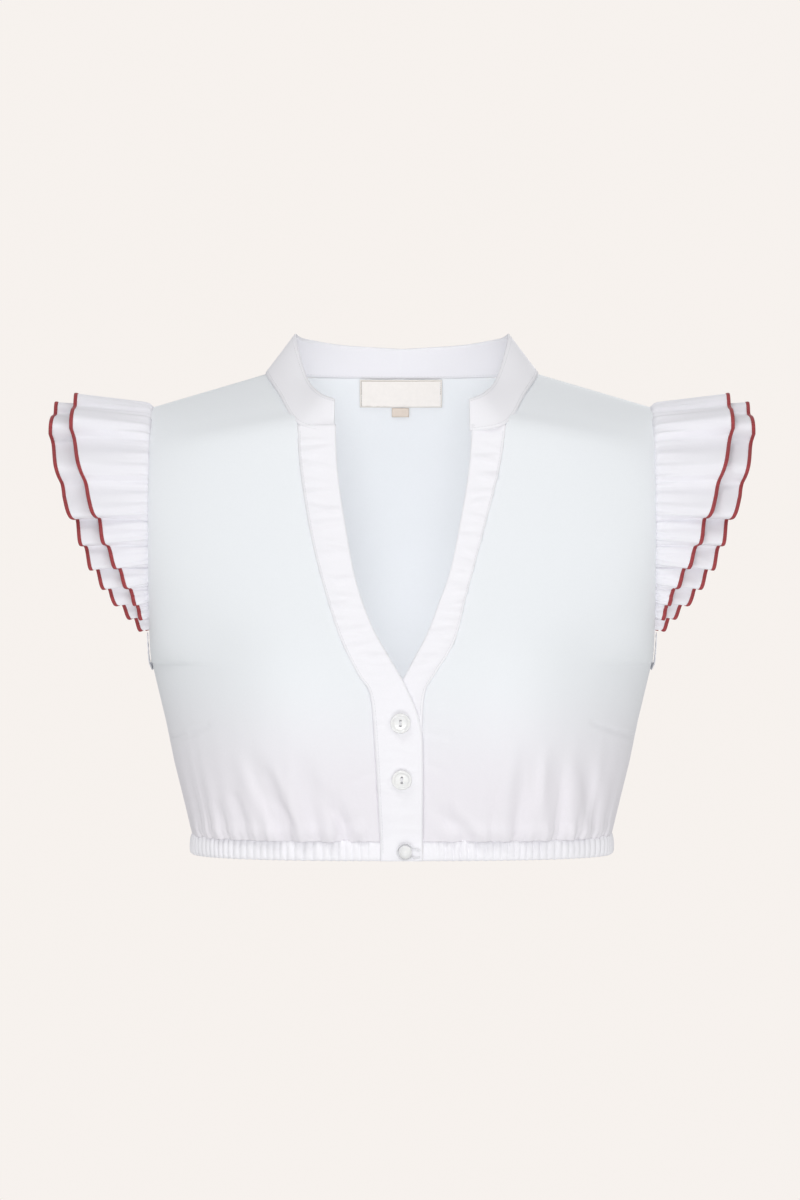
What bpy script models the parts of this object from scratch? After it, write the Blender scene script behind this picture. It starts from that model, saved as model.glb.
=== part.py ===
# Dirndl blouse: cropped cotton blouse with a stand collar, a V neck that runs into a buttoned
# placket, a hem gathered on elastic and two-layer flutter sleeves. It keeps its hollow worn form.
# Metres, +Z up, the front looks along -Y, +X is the wearer's left.
# The origin is between the shoulder seams, where the wearer's shoulders carry the blouse.

import math

import bmesh
import bpy
from mathutils import Matrix, Vector

MM = 0.001

# Driving sizes in millimetres
CLOTH_WALL = 1.2
RUFFLE_WALL = 1.0
COLLAR_WALL = 1.4
CASING_WALL = 3.0
SEAM_GAP = 0.3
SHOULDER_X = 178.0
SHOULDER_Z = -12.0
UNDERARM_Z = -194.0
ARMHOLE_MIDDLE = (SHOULDER_Z + UNDERARM_Z) / 2
ARMHOLE_HALF = (SHOULDER_Z - UNDERARM_Z) / 2
ARMHOLE_FRONT = 58.0
ARMHOLE_BACK = 50.0
NECK_X = 96.5
NECK_Z = 12.0
NECK_BACK_Y = 62.0
HEM_TOP_Z = -317.0
HEM_BOTTOM_Z = -330.0
HEM_FRONT_Y = 97.0
HEM_BACK_Y = 88.0
HEM_POWER = 2.5
HEM_OPEN_X = 15.5
COLLAR_SEAM_Z = -26.0
OVER_BAND_OUT = 1.6
UNDER_BAND_OUT = -0.3
BUST_X = 85.0
BUST_Z = -222.0
BUST_RISE = 20.0
BUST_WIDE = 46.0
BUST_HIGH = 52.0
CASING_WAVES = 104
CASING_RIDGE = 0.9
BUTTON_DIAMETER = 14.0
BUTTON_THICK = 2.4
BUTTON_HOLE = 1.8
BUTTON_HOLE_APART = 3.4
BUTTON_PLACES = {"button_upper": (-1.1, -234.2), "button_lower": (-0.2, -273.6)}
HEM_BUTTON_DIAMETER = 9.5
HEM_BUTTON_FLAT = 0.8
HEM_BUTTON_PLACE = (2.3, -323.5)
LOOP_WIRE = 1.3
LOOP_END_X = 12.6
LABEL_WALL = 0.8
LABEL_OUT = 0.9
LABEL_WIDE = 60.0
LABEL_HIGH = 20.0
LABEL_PLACE = (-0.7, 11.2)
TAB_WIDE = 12.5
TAB_HIGH = 6.5
TAB_PLACE = (-1.1, -9.2)

# Sections of a front, hem first: the z at its inner and outer end, the x of its inner end on the
# wearer's right and left, the y of its inner end, and the power of its rounding to the side.
# Columns: z_in, z_out, x_right, x_left, y_in, power, steps to the next section.
FRONT_ROWS = (
    (-316.6, -316.6, 15.2, 13.6, -97.0, 2.5, 2),
    (-290.0, -290.0, 16.6, 13.6, -104.0, 2.5, 2),
    (-255.0, -255.0, 18.6, 13.8, -109.5, 2.4, 2),
    (-215.0, -215.0, 22.0, 15.5, -110.5, 2.3, 1),
    (-201.0, -200.0, 30.3, 22.5, -110.0, 2.2, 1),
    (-177.6, -180.0, 42.0, 36.5, -107.5, 2.1, 2),
    (-146.6, -152.0, 52.4, 44.6, -103.0, 1.9, 2),
    (-105.8, -114.0, 63.0, 55.6, -96.0, 1.8, 2),
    (-57.7, -74.0, 70.9, 68.0, -85.0, 1.7, 1),
    (-27.0, -46.0, 73.0, 72.6, -77.0, 1.6, 1),
    (-16.0, -32.0, 79.5, 79.5, -62.0, 1.5, 1),
    (-5.0, -23.0, 86.0, 86.0, -43.0, 1.4, 1),
    (6.0, -15.5, 93.0, 93.0, -18.0, 1.3, 1),
    (12.0, -12.0, 96.5, 96.5, -0.4, 1.2, 0),
)

# Sections of the back, hem first: z and y at the centre back, z at the outer end, the power of the
# rounding and how far the section has turned into the neck and shoulder line.
# Columns: z_in, y_in, z_out, power, turned, steps to the next section.
BACK_ROWS = (
    (-316.6, 88.0, -316.6, 2.5, 0.0, 2),
    (-290.0, 90.0, -290.0, 2.5, 0.0, 2),
    (-245.0, 91.0, -245.0, 2.4, 0.0, 2),
    (-200.0, 92.0, -200.0, 2.4, 0.0, 2),
    (-150.0, 94.0, -152.0, 2.4, 0.0, 2),
    (-105.0, 94.0, -114.0, 2.3, 0.05, 2),
    (-60.0, 89.0, -74.0, 2.2, 0.2, 1),
    (-32.0, 81.0, -46.0, 2.1, 0.4, 1),
    (-12.0, 73.0, -30.0, 2.0, 0.65, 1),
    (3.0, 66.0, -18.0, 1.9, 0.88, 1),
    (12.0, 62.0, -12.0, 1.8, 1.0, 0),
)

# Half width at the side seam for each height
SIDE_SEAM = (
    (-330.0, 148.5), (-317.0, 149.0), (-292.0, 155.0), (-264.0, 162.0), (-235.0, 168.0), (-194.0, 178.0),
)

# Long soft folds that the gathered hem sends up: where each starts, where it reaches the hem, its
# depth and its half width. y_side says whether it lies on the front (-1) or the back (+1).
# Columns: y_side, x_top, z_top, x_low, z_low, deep, wide.
FOLDS = (
    (-1, -107.0, -246.0, -79.0, -317.0, 2.6, 5.5),
    (-1, -70.0, -247.0, -57.0, -317.0, 1.8, 5.5),
    (-1, -55.0, -272.0, -37.0, -317.0, 1.9, 5.0),
    (-1, -32.0, -292.0, -43.0, -317.0, 1.6, 5.0),
    (-1, -152.0, -257.0, -142.0, -317.0, 2.2, 6.0),
    (-1, 18.0, -286.0, 42.0, -312.0, 2.0, 5.0),
    (-1, 88.0, -243.0, 80.0, -317.0, 2.4, 5.5),
    (-1, 110.0, -238.0, 108.0, -317.0, 2.2, 5.0),
    (-1, 122.0, -243.0, 138.0, -317.0, 2.6, 5.5),
    (-1, 153.0, -262.0, 146.0, -317.0, 2.0, 5.5),
    (1, -146.0, -268.0, -143.0, -317.0, 2.0, 6.0),
    (1, -118.0, -240.0, -126.0, -317.0, 2.5, 6.0),
    (1, -92.0, -258.0, -97.0, -317.0, 2.0, 5.5),
    (1, -66.0, -232.0, -68.0, -317.0, 2.6, 6.0),
    (1, -38.0, -262.0, -36.0, -317.0, 1.9, 5.5),
    (1, -10.0, -240.0, -12.0, -317.0, 2.4, 6.0),
    (1, 16.0, -270.0, 18.0, -317.0, 1.8, 5.5),
    (1, 45.0, -236.0, 47.0, -317.0, 2.5, 6.0),
    (1, 72.0, -262.0, 76.0, -317.0, 1.9, 5.5),
    (1, 99.0, -244.0, 105.0, -317.0, 2.4, 6.0),
    (1, 126.0, -266.0, 129.0, -317.0, 1.9, 5.5),
    (1, 148.0, -252.0, 145.0, -317.0, 2.0, 6.0),
)

# Inner edge of each V band and then of its placket, top first: height and x, plus towards the
# wearer's left. The right band lies over the left one.
OVER_EDGE = (
    (-31.0, -46.0), (-61.0, -44.5), (-99.0, -38.8), (-136.0, -31.7), (-164.0, -22.0), (-180.0, -13.8),
    (-204.0, 0.3), (-213.0, 4.5), (-226.0, 10.3), (-240.0, 13.4), (-257.0, 14.4), (-330.0, 14.3),
)
UNDER_EDGE = (
    (-31.0, 48.5), (-61.0, 46.0), (-99.0, 39.5), (-130.0, 33.0), (-151.0, 25.5), (-171.0, 17.9),
    (-186.0, 10.3), (-204.0, 0.7), (-213.0, -4.0), (-226.0, -9.8), (-240.0, -13.0), (-257.0, -14.2),
    (-330.0, -14.2),
)

# Collar, from the front end round to the centre back: base and top point of each station
# Columns: x_base, y_base, z_base, x_top, y_top, z_top, steps to the next station.
COLLAR_ROWS = (
    (47.0, -80.0, -31.2, 47.0, -73.0, -9.0, 2),
    (72.0, -77.0, -26.0, 57.0, -64.0, -4.5, 3),
    (86.0, -44.0, -4.0, 67.0, -38.0, 8.0, 3),
    (96.5, 1.0, 13.0, 76.0, 0.0, 39.0, 3),
    (89.0, 36.0, 14.0, 70.0, 29.0, 39.0, 3),
    (52.0, 57.0, 13.0, 43.0, 47.0, 35.5, 3),
    (0.0, 62.0, 12.8, 0.0, 52.0, 33.0, 0),
)

# Ruffle folds down the front and the back of an armhole: height of each overlapping fold
RUFFLE_FOLDS = (-14.5, -34.0, -63.0, -91.0, -109.0, -125.0, -139.0, -151.0)
RUFFLE_ENDS = {"upper": (-161.0,), "lower": (-161.0, -170.0)}
# How strongly the folds are turned over, the one next to the shoulder tip first
RUFFLE_STRENGTH = (0.7, 1.0, 0.7, 1.0, 0.8, 1.0, 0.9, 0.9)
# How far each layer stands off and flares away from the arm
RUFFLE_OFF = {"upper": 1.7, "lower": -1.7}
RUFFLE_FLARE = {"upper": 0.10, "lower": 0.03}
FOLD_SHARE = 0.26
FOLD_MOST = 5.6
FOLD_LEAN = 0.74
SEAM_WAVE = 0.6
# Ruffle width for each height: the longer lower layer and the shorter upper layer
WIDTH_COLUMNS = ("z", "lower", "upper")
RUFFLE_WIDTHS = (
    (-12.0, 70.0, 56.0),
    (-34.0, 72.0, 57.0),
    (-54.0, 67.0, 51.0),
    (-76.0, 61.0, 44.0),
    (-92.0, 53.0, 37.0),
    (-108.0, 48.0, 32.0),
    (-124.0, 41.0, 24.0),
    (-145.0, 28.0, 13.0),
    (-161.0, 14.0, 7.0),
    (-170.0, 7.0, 7.0),
)
RUFFLE_EDGING = 2.6

COLOURS = {
    "cloth": (0.89, 0.90, 0.92, 1.0),
    "band": (0.92, 0.91, 0.94, 1.0),
    "edging": (0.33, 0.035, 0.042, 1.0),
    "button": (0.90, 0.90, 0.88, 1.0),
    "label": (0.84, 0.79, 0.74, 1.0),
    "tab": (0.62, 0.52, 0.44, 1.0),
}
ROUGHNESS = {"cloth": 0.85, "band": 0.8, "edging": 0.7, "button": 0.3, "label": 0.7, "tab": 0.7}


def clean_scene():
    for item in list(bpy.data.objects):
        bpy.data.objects.remove(item, do_unlink=True)


def new_collection(name):
    collection = bpy.data.collections.new(name)
    bpy.context.scene.collection.children.link(collection)
    return collection


def principled(name, finish):
    material = bpy.data.materials.new(name)
    material.use_nodes = True
    shader = material.node_tree.nodes["Principled BSDF"]
    shader.inputs["Base Color"].default_value = COLOURS[finish]
    shader.inputs["Roughness"].default_value = ROUGHNESS[finish]
    shader.inputs["Metallic"].default_value = 0.0
    material.diffuse_color = COLOURS[finish]
    return material


def clamp(value, low=0.0, high=1.0):
    return max(low, min(high, value))


def ease(value):
    value = clamp(value)
    return value * value * (3.0 - 2.0 * value)


def lookup(table, at, column=1):
    """The value in a column of a table, read along its first column with straight steps."""
    rows = sorted(table)
    if at <= rows[0][0]:
        return rows[0][column]
    for low, high in zip(rows, rows[1:]):
        if at <= high[0]:
            share = (at - low[0]) / (high[0] - low[0])
            return low[column] + (high[column] - low[column]) * share
    return rows[-1][column]


def smooth_stations(rows):
    """Every row of a table and the steps that its last column asks for between it and the next one,
    on a smooth curve through the rows."""
    stations = []
    for index, row in enumerate(rows):
        before = rows[max(index - 1, 0)]
        after = rows[min(index + 1, len(rows) - 1)]
        beyond = rows[min(index + 2, len(rows) - 1)]
        steps = max(row[-1], 1)
        for step in range(steps):
            t = step / steps
            station = []
            for a, b, c, d in zip(before[:-1], row[:-1], after[:-1], beyond[:-1]):
                bend = 2 * b + (c - a) * t + (2 * a - 5 * b + 4 * c - d) * t**2
                bend += (3 * b - a - 3 * c + d) * t**3
                station.append(bend / 2)
            stations.append(station)
            if index == len(rows) - 1:
                return stations
    return stations


def side_x(z):
    return lookup(SIDE_SEAM, z)


def armhole_y(z, deep):
    """The armhole is an oval: its depth in front of or behind the shoulder point at a height."""
    return deep * math.sqrt(max(0.0, 1.0 - ((z - ARMHOLE_MIDDLE) / ARMHOLE_HALF) ** 2))


def bust(x, z):
    """How far the cups stand out in front of the plain section."""
    wide = (abs(x) - BUST_X) / BUST_WIDE
    high = (z - BUST_Z) / BUST_HIGH
    return BUST_RISE * math.exp(-(wide * wide + high * high) / 2)


def fold_depth(x, z, y_side):
    """How far the folds from the gathered hem sink the cloth at a place."""
    total = 0.0
    for fold_side, x_top, z_top, x_low, z_low, deep, wide in FOLDS:
        if fold_side != y_side:
            continue
        along = (z_top - z) / (z_top - z_low)
        if along <= 0.0:
            continue
        along = min(along, 1.0)
        centre = x_top + (x_low - x_top) * along
        across = (x - centre) / wide
        trough = math.exp(-across * across / 2) - 0.45 * math.exp(-((abs(across) - 2.1) ** 2))
        total += deep * ease(along * 1.6) * trough
    return total


def front_grid(side):
    """Rows of points of a front, from the hem to the shoulder seam and from the band to the side."""
    columns = 22
    right = side < 0
    grid = []
    for z_in, z_out, x_right, x_left, y_in, power in smooth_stations(FRONT_ROWS):
        x_in = (x_right if right else x_left) + SEAM_GAP
        below = z_out <= UNDERARM_Z
        x_out = side_x(z_out) if below else SHOULDER_X
        y_out = -0.2 if below else min(-0.35, -armhole_y(z_out, ARMHOLE_FRONT))
        row = []
        for column in range(columns + 1):
            angle = column / columns * math.pi / 2
            f = math.sin(angle) ** (2.0 / power)
            g = 1.0 - math.cos(angle) ** (2.0 / power)
            x = x_in + (x_out - x_in) * f
            y = y_in + (y_out - y_in) * g
            z = z_in + (z_out - z_in) * f
            seam = ease((1.0 - f) * 5.0) * ease((z + 140.0) / -40.0)
            inner = ease(f * 8.0)
            y -= bust(x, z) * math.cos(angle) ** 0.8
            y += fold_depth(side * x, z, -1) * seam * inner
            row.append((side * x, y, z))
        grid.append(row)
    return grid


def neck_back(share):
    """The back neck seam from the centre back (0) to the neck point at the shoulder (1)."""
    angle = share * math.pi / 2
    x = NECK_X * math.sin(angle) ** (2.0 / 2.4)
    y = 0.4 + (NECK_BACK_Y - 0.4) * math.cos(angle) ** (2.0 / 2.4)
    return x, y, NECK_Z


def back_grid():
    half = 20
    neck_columns = 11
    grid = []
    for z_in, y_in, z_out, power, turned in smooth_stations(BACK_ROWS):
        below = z_out <= UNDERARM_Z
        x_out = side_x(z_out) if below else SHOULDER_X
        y_out = 0.2 if below else max(0.35, armhole_y(z_out, ARMHOLE_BACK))
        half_row = []
        for column in range(half + 1):
            angle = column / half * math.pi / 2
            f = math.sin(angle) ** (2.0 / power)
            x = x_out * f
            y = y_out + (y_in - y_out) * math.cos(angle) ** (2.0 / power)
            z = z_in + (z_out - z_in) * f
            if column <= neck_columns:
                top = neck_back(column / neck_columns)
            else:
                share = (column - neck_columns) / (half - neck_columns)
                top = (
                    NECK_X + (SHOULDER_X - NECK_X) * share,
                    0.4 + (y_out - 0.4) * share,
                    NECK_Z + (z_out - NECK_Z) * share,
                )
            x += (top[0] - x) * turned
            y += (top[1] - y) * turned
            z += (top[2] - z) * turned ** 2
            seam = ease((1.0 - f) * 5.0)
            half_row.append((x, y, z, seam))
        row = [(-x, y - fold_depth(-x, z, 1) * seam, z) for x, y, z, seam in reversed(half_row[1:])]
        row += [(x, y - fold_depth(x, z, 1) * seam, z) for x, y, z, seam in half_row]
        grid.append(row)
    return grid


# The fronts' inner edge at every section: height, x on the right, x on the left, y
INNER_EDGE = tuple((s[0], s[2], s[3], s[4]) for s in smooth_stations(FRONT_ROWS) if s[0] < COLLAR_SEAM_Z)


def band_y(x, x_seam, z):
    """Depth of the cloth between the fronts at a place. It lies a little flatter at the chest."""
    flatter = 0.10 * max(0.0, abs(x_seam) - abs(x)) * ease((z + 200.0) / 60.0)
    return lookup(INNER_EDGE, z, 3) - flatter - bust(x, z)


def band_grid(side, edge, out):
    """A V band and its placket: from its seam on the front to its free edge, moved out by a little."""
    columns = 3
    grid = []
    top = max(z for z, _ in edge)
    levels = {z for z, _ in edge} | {row[0] for row in INNER_EDGE if row[0] < top}
    for z in sorted(levels):
        x_seam = side * (lookup(INNER_EDGE, z, 1 if side < 0 else 2) - 0.1)
        x_edge = lookup(edge, z)
        row = []
        for column in range(columns + 1):
            x = x_seam + (x_edge - x_seam) * column / columns
            row.append((x, band_y(x, x_seam, z) - out, z))
        grid.append(row)
    return grid


def collar_grid():
    half = []
    rise = 3
    for x_base, y_base, z_base, x_top, y_top, z_top in smooth_stations(COLLAR_ROWS):
        column = []
        base = Vector((x_base, y_base, z_base))
        top = Vector((x_top, y_top, z_top))
        up = (top - base).normalized()
        base += up * 0.8
        for step in range(rise + 1):
            column.append(base.lerp(top, step / rise))
        half.append(column)
    columns = [[Vector((-p.x, p.y, p.z)) for p in column] for column in half]
    columns += [column for column in reversed(half[:-1])]
    return [[tuple(column[step]) for column in columns] for step in range(rise + 1)]


def hem_ring(share):
    """A point of the hem line, which starts (0) and ends (1) at the centre front."""
    turn = share * 2 * math.pi + math.pi
    c = math.cos(turn)
    s = math.sin(turn)
    x = side_x(HEM_TOP_Z) * math.copysign(abs(s) ** (2.0 / HEM_POWER), s)
    deep = HEM_BACK_Y if c > 0 else HEM_FRONT_Y
    y = deep * math.copysign(abs(c) ** (2.0 / HEM_POWER), c)
    return x, y


def casing_rows():
    """Stations of the hem ring at even distances along it, each with its outward direction."""
    fine = 1440
    points = []
    for index in range(fine + 1):
        x, y = hem_ring(index / fine)
        if y < 0 and abs(x) < HEM_OPEN_X:
            continue
        points.append(Vector((x, y, 0.0)))
    along = [0.0]
    for a, b in zip(points, points[1:]):
        along.append(along[-1] + (b - a).length)
    count = CASING_WAVES * 2
    stations = []
    index = 0
    for step in range(count + 1):
        target = along[-1] * step / count
        while index < len(along) - 2 and along[index + 1] < target:
            index += 1
        share = (target - along[index]) / (along[index + 1] - along[index])
        place = points[index].lerp(points[index + 1], share)
        direction = (points[index + 1] - points[index]).normalized()
        stations.append((place, Vector((-direction.y, direction.x, 0.0))))
    return stations


def armhole_point(angle, side, radial=0.0):
    """A point of the armhole oval: 0 is the shoulder tip, +180 degrees the underarm by the front."""
    deep = ARMHOLE_FRONT if math.sin(angle) > 0 else ARMHOLE_BACK
    y = -deep * math.sin(angle)
    z = ARMHOLE_MIDDLE + ARMHOLE_HALF * math.cos(angle)
    outward = Vector((0.0, -math.sin(angle) / deep, math.cos(angle) / ARMHOLE_HALF)).normalized()
    return Vector((side * SHOULDER_X, y, z)) + outward * radial, outward


def fold_angle(z):
    return math.acos(clamp((z - ARMHOLE_MIDDLE) / ARMHOLE_HALF, -1.0, 1.0))


def ruffle_marks(layer):
    """Angles where the folds of a layer begin, from the back of the armhole to the front."""
    heights = RUFFLE_FOLDS + RUFFLE_ENDS[layer]
    front = [fold_angle(z) for z in heights]
    return [-angle for angle in reversed(front)] + front


def fold_reach(marks, side):
    """How deep a fold may be at each mark: a share of the distance to its neighbours."""
    places = [armhole_point(mark, side)[0] for mark in marks]
    apart = [(b - a).length for a, b in zip(places, places[1:])]
    apart = [apart[0]] + [(a + b) / 2 for a, b in zip(apart, apart[1:])] + [apart[-1]]
    middle = (len(marks) - 1) / 2
    reach = []
    for index, (mark, pitch) in enumerate(zip(marks, apart)):
        place = min(math.ceil(abs(index - middle)), len(RUFFLE_STRENGTH)) - 1
        reach.append((mark, min(pitch * FOLD_SHARE, FOLD_MOST) * RUFFLE_STRENGTH[place]))
    return reach


def ruffle_point(side, layer, angle, phase, away, reach):
    """A point of a ruffle: away is its distance from the seam, phase where it is in its wave. The
    waves lean over towards the underarm, so each fold overlaps the next one below."""
    seam, outward = armhole_point(angle, side, RUFFLE_OFF[layer])
    before = armhole_point(angle - 0.01, side)[0]
    after = armhole_point(angle + 0.01, side)[0]
    tangent = (after - before).normalized()
    longest = lookup(RUFFLE_WIDTHS, seam.z, WIDTH_COLUMNS.index("lower"))
    deep = SEAM_WAVE + (lookup(reach, angle) - SEAM_WAVE) * min(1.0, away / longest) ** 0.8
    down = math.copysign(1.0, angle) * ease(abs(angle) / 0.35)
    wave = -math.sin(phase * 2 * math.pi) * down
    point = seam + Vector((side * (1.0 + away), 0.0, 0.0))
    point += outward * (deep * (wave + 0.3) + RUFFLE_FLARE[layer] * away)
    point += tangent * (deep * wave * FOLD_LEAN * down)
    point.z += away * (0.06 * math.cos(angle) - 0.04)
    return point


def ruffle_grid(side, layer, per_wave=6):
    """A gathered layer of a flutter sleeve: its seam, where its edging starts, and its edge."""
    marks = ruffle_marks(layer)
    reach = fold_reach(ruffle_marks("lower"), side)
    width_column = WIDTH_COLUMNS.index(layer)
    rows = [[], [], []]
    for wave, (low, high) in enumerate(zip(marks, marks[1:])):
        last = wave == len(marks) - 2
        for step in range(per_wave + (1 if last else 0)):
            phase = step / per_wave
            angle = low + (high - low) * phase
            width = lookup(RUFFLE_WIDTHS, armhole_point(angle, side)[0].z, width_column)
            for row, away in zip(rows, (0.0, width - RUFFLE_EDGING, width)):
                row.append(tuple(ruffle_point(side, layer, angle, phase, away, reach)))
    return rows


def binding_grid(side):
    """The bound edge under the arm, on the outside of front and back."""
    start = fold_angle(-172.0)
    steps = 14
    rows = []
    for radial in (0.4, 5.4):
        row = []
        for step in range(steps + 1):
            angle = start + (2 * math.pi - 2 * start) * step / steps
            point, _ = armhole_point(angle, side, radial)
            point.x = side * (side_x(min(point.z, UNDERARM_Z)) + CLOTH_WALL + SEAM_GAP)
            row.append(tuple(point))
        rows.append(row)
    return rows


def grid_mesh(name, grid, flip=False):
    """A mesh from rows of points in millimetres. flip turns its faces round."""
    sheet = bmesh.new()
    rows = [[sheet.verts.new(Vector(point) * MM) for point in row] for row in grid]
    for low, high in zip(rows, rows[1:]):
        for index in range(len(low) - 1):
            corners = (low[index], low[index + 1], high[index + 1], high[index])
            sheet.faces.new(reversed(corners) if flip else corners)
    mesh = bpy.data.meshes.new(name)
    sheet.to_mesh(mesh)
    sheet.free()
    mesh.shade_smooth()
    return mesh


def add_object(collection, name, mesh, finish):
    item = bpy.data.objects.new(name, mesh)
    item.data.materials.append(principled(name, finish))
    collection.objects.link(item)
    return item


def add_cloth(collection, name, grid, wall, finish, flip=False, offset=0.0):
    item = add_object(collection, name, grid_mesh(name, grid, flip), finish)
    solid = item.modifiers.new("Wall", "SOLIDIFY")
    solid.thickness = wall * MM
    solid.offset = offset
    return item


def add_casing(collection):
    """The gathered hem casing: a ridge for each gather outside and a plain face inside."""
    stations = casing_rows()
    shell = bmesh.new()
    rings = []
    for index, (place, outward) in enumerate(stations):
        ridge = CASING_RIDGE if index % 2 else 0.0
        shape = (
            (CASING_WALL / 2 - 1.3 + ridge * 0.5, HEM_TOP_Z - SEAM_GAP),
            (CASING_WALL / 2 - CASING_RIDGE + ridge, HEM_TOP_Z - 4.0),
            (CASING_WALL / 2 - CASING_RIDGE + ridge, HEM_BOTTOM_Z + 3.0),
            (CASING_WALL / 2 - 1.6 + ridge * 0.5, HEM_BOTTOM_Z),
            (-CASING_WALL / 2, HEM_BOTTOM_Z + 0.6),
            (-CASING_WALL / 2, HEM_TOP_Z - SEAM_GAP),
        )
        ring = []
        for out, z in shape:
            point = place + outward * out
            ring.append(shell.verts.new(Vector((point.x, point.y, z)) * MM))
        rings.append(ring)
    for a, b in zip(rings, rings[1:]):
        for k in range(len(a)):
            n = (k + 1) % len(a)
            shell.faces.new((a[k], a[n], b[n], b[k]))
    shell.faces.new(rings[0])
    shell.faces.new(reversed(rings[-1]))
    bmesh.ops.recalc_face_normals(shell, faces=shell.faces)
    mesh = bpy.data.meshes.new("hem_casing")
    shell.to_mesh(mesh)
    shell.free()
    return add_object(collection, "hem_casing", mesh, "band")


def placket_seat(x, z, reach):
    """Where a piece of that reach sits on the placket: the y and slope of a plane that leans with the
    cloth there, and the y of an upright one."""
    outer = OVER_BAND_OUT + CLOTH_WALL / 2
    places = [(x + reach * a / 2, z + reach * b / 2) for a in range(-2, 3) for b in range(-2, 3)]
    depths = {place: band_y(place[0], 15.0, place[1]) - outer for place in places}
    slope = (depths[(x, z + reach)] - depths[(x, z - reach)]) / (2 * reach)
    tilted = min(y - slope * (place[1] - z) for place, y in depths.items())
    return tilted, slope, min(depths.values())


def add_button(collection, cutters, name, x, z):
    """A turned two-hole button, its face to the front and its holes one above the other."""
    radius = BUTTON_DIAMETER / 2
    profile = (
        (0.0, 0.8), (radius * 0.62, 0.8), (radius * 0.76, 0.0), (radius * 0.9, 0.0),
        (radius, 0.7), (radius, 1.6), (radius * 0.8, BUTTON_THICK), (0.0, BUTTON_THICK),
    )
    ring = bmesh.new()
    points = [ring.verts.new(Vector((r, 0.0, -h)) * MM) for r, h in profile]
    for a, b in zip(points, points[1:]):
        ring.edges.new((a, b))
    mesh = bpy.data.meshes.new(name)
    ring.to_mesh(mesh)
    ring.free()
    item = add_object(collection, name, mesh, "button")
    turn = item.modifiers.new("Turned", "SCREW")
    turn.steps = 20
    turn.render_steps = 20
    turn.merge_threshold = 0.00001
    turn.use_merge_vertices = True
    seat_y, slope, _ = placket_seat(x, z, radius)
    tilt = Matrix.Rotation(math.pi / 2 - math.atan(slope), 4, "X")
    face_y = seat_y - SEAM_GAP - BUTTON_THICK
    item.matrix_world = Matrix.Translation(Vector((x, face_y, z)) * MM) @ tilt
    for index, up in enumerate((-1, 1)):
        bpy.ops.mesh.primitive_cylinder_add(
            vertices=8, radius=BUTTON_HOLE / 2 * MM, depth=4 * BUTTON_THICK * MM
        )
        cutter = bpy.context.object
        cutter.name = f"{name}_hole_{index}"
        for holder in list(cutter.users_collection):
            holder.objects.unlink(cutter)
        cutters.objects.link(cutter)
        cutter.hide_render = True
        cutter.display_type = "WIRE"
        place = Vector((x, face_y, z + up * BUTTON_HOLE_APART / 2)) * MM
        cutter.matrix_world = Matrix.Translation(place) @ tilt
        cut = item.modifiers.new(f"Hole{index}", "BOOLEAN")
        cut.operation = "DIFFERENCE"
        cut.object = cutter
    return item


def add_hem_button(collection):
    """A small ball button that the loop holds at the bottom of the placket."""
    x, z = HEM_BUTTON_PLACE
    radius = HEM_BUTTON_DIAMETER / 2
    y = placket_seat(x, z, radius)[2] - SEAM_GAP - radius * HEM_BUTTON_FLAT
    bpy.ops.mesh.primitive_uv_sphere_add(segments=14, ring_count=8, radius=radius * MM)
    item = bpy.context.object
    item.name = "hem_button"
    for holder in list(item.users_collection):
        holder.objects.unlink(item)
    collection.objects.link(item)
    item.data.transform(Matrix.Diagonal((1.0, HEM_BUTTON_FLAT, 1.0, 1.0)))
    item.location = Vector((x, y, z)) * MM
    item.data.materials.append(principled("hem_button", "button"))
    item.data.shade_smooth()
    return item


def add_loop(collection):
    """The elastic loop: from the placket's edge round the ball button and back, its ends apart."""
    x, z = HEM_BUTTON_PLACE
    reach = HEM_BUTTON_DIAMETER / 2 + LOOP_WIRE / 2 + SEAM_GAP
    y = placket_seat(x, z, reach + LOOP_WIRE)[2] - LOOP_WIRE / 2 - SEAM_GAP
    points = [(LOOP_END_X, y, z + 0.4)]
    for step in range(13):
        angle = math.radians(32.0 + 292.0 * step / 12)
        points.append((x + reach * math.cos(angle), y, z + reach * math.sin(angle)))
    points.append((LOOP_END_X, y, z - 3.8))
    data = bpy.data.curves.new("hem_loop", "CURVE")
    data.dimensions = "3D"
    data.bevel_depth = LOOP_WIRE / 2 * MM
    data.bevel_resolution = 2
    data.use_fill_caps = True
    spline = data.splines.new("POLY")
    spline.points.add(len(points) - 1)
    for knot, point in zip(spline.points, points):
        knot.co = (point[0] * MM, point[1] * MM, point[2] * MM, 1.0)
    item = bpy.data.objects.new("hem_loop", data)
    data.materials.append(principled("hem_loop", "cloth"))
    collection.objects.link(item)
    return item


def back_inner(x, z):
    """Depth of the back's inner face near the neck, read from its own sections."""
    profile = []
    for row in back_grid():
        near = [point for point in row if abs(point[0]) < NECK_X]
        profile.append((lookup([(p[0], p[2]) for p in near], x), lookup([(p[0], p[1]) for p in near], x)))
    return lookup(profile, z) - CLOTH_WALL / 2


def lying_sheet(wide, high, place, columns, rows):
    """A small woven piece that lies on the inside of the back. Its place is its top's middle."""
    x_middle, z_top = place
    grid = []
    for row in range(rows + 1):
        z = z_top - high * (1 - row / rows)
        line = []
        for column in range(columns + 1):
            x = x_middle + wide * (column / columns - 0.5)
            line.append((x, back_inner(x, z) - LABEL_OUT, z))
        grid.append(line)
    return grid


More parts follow.
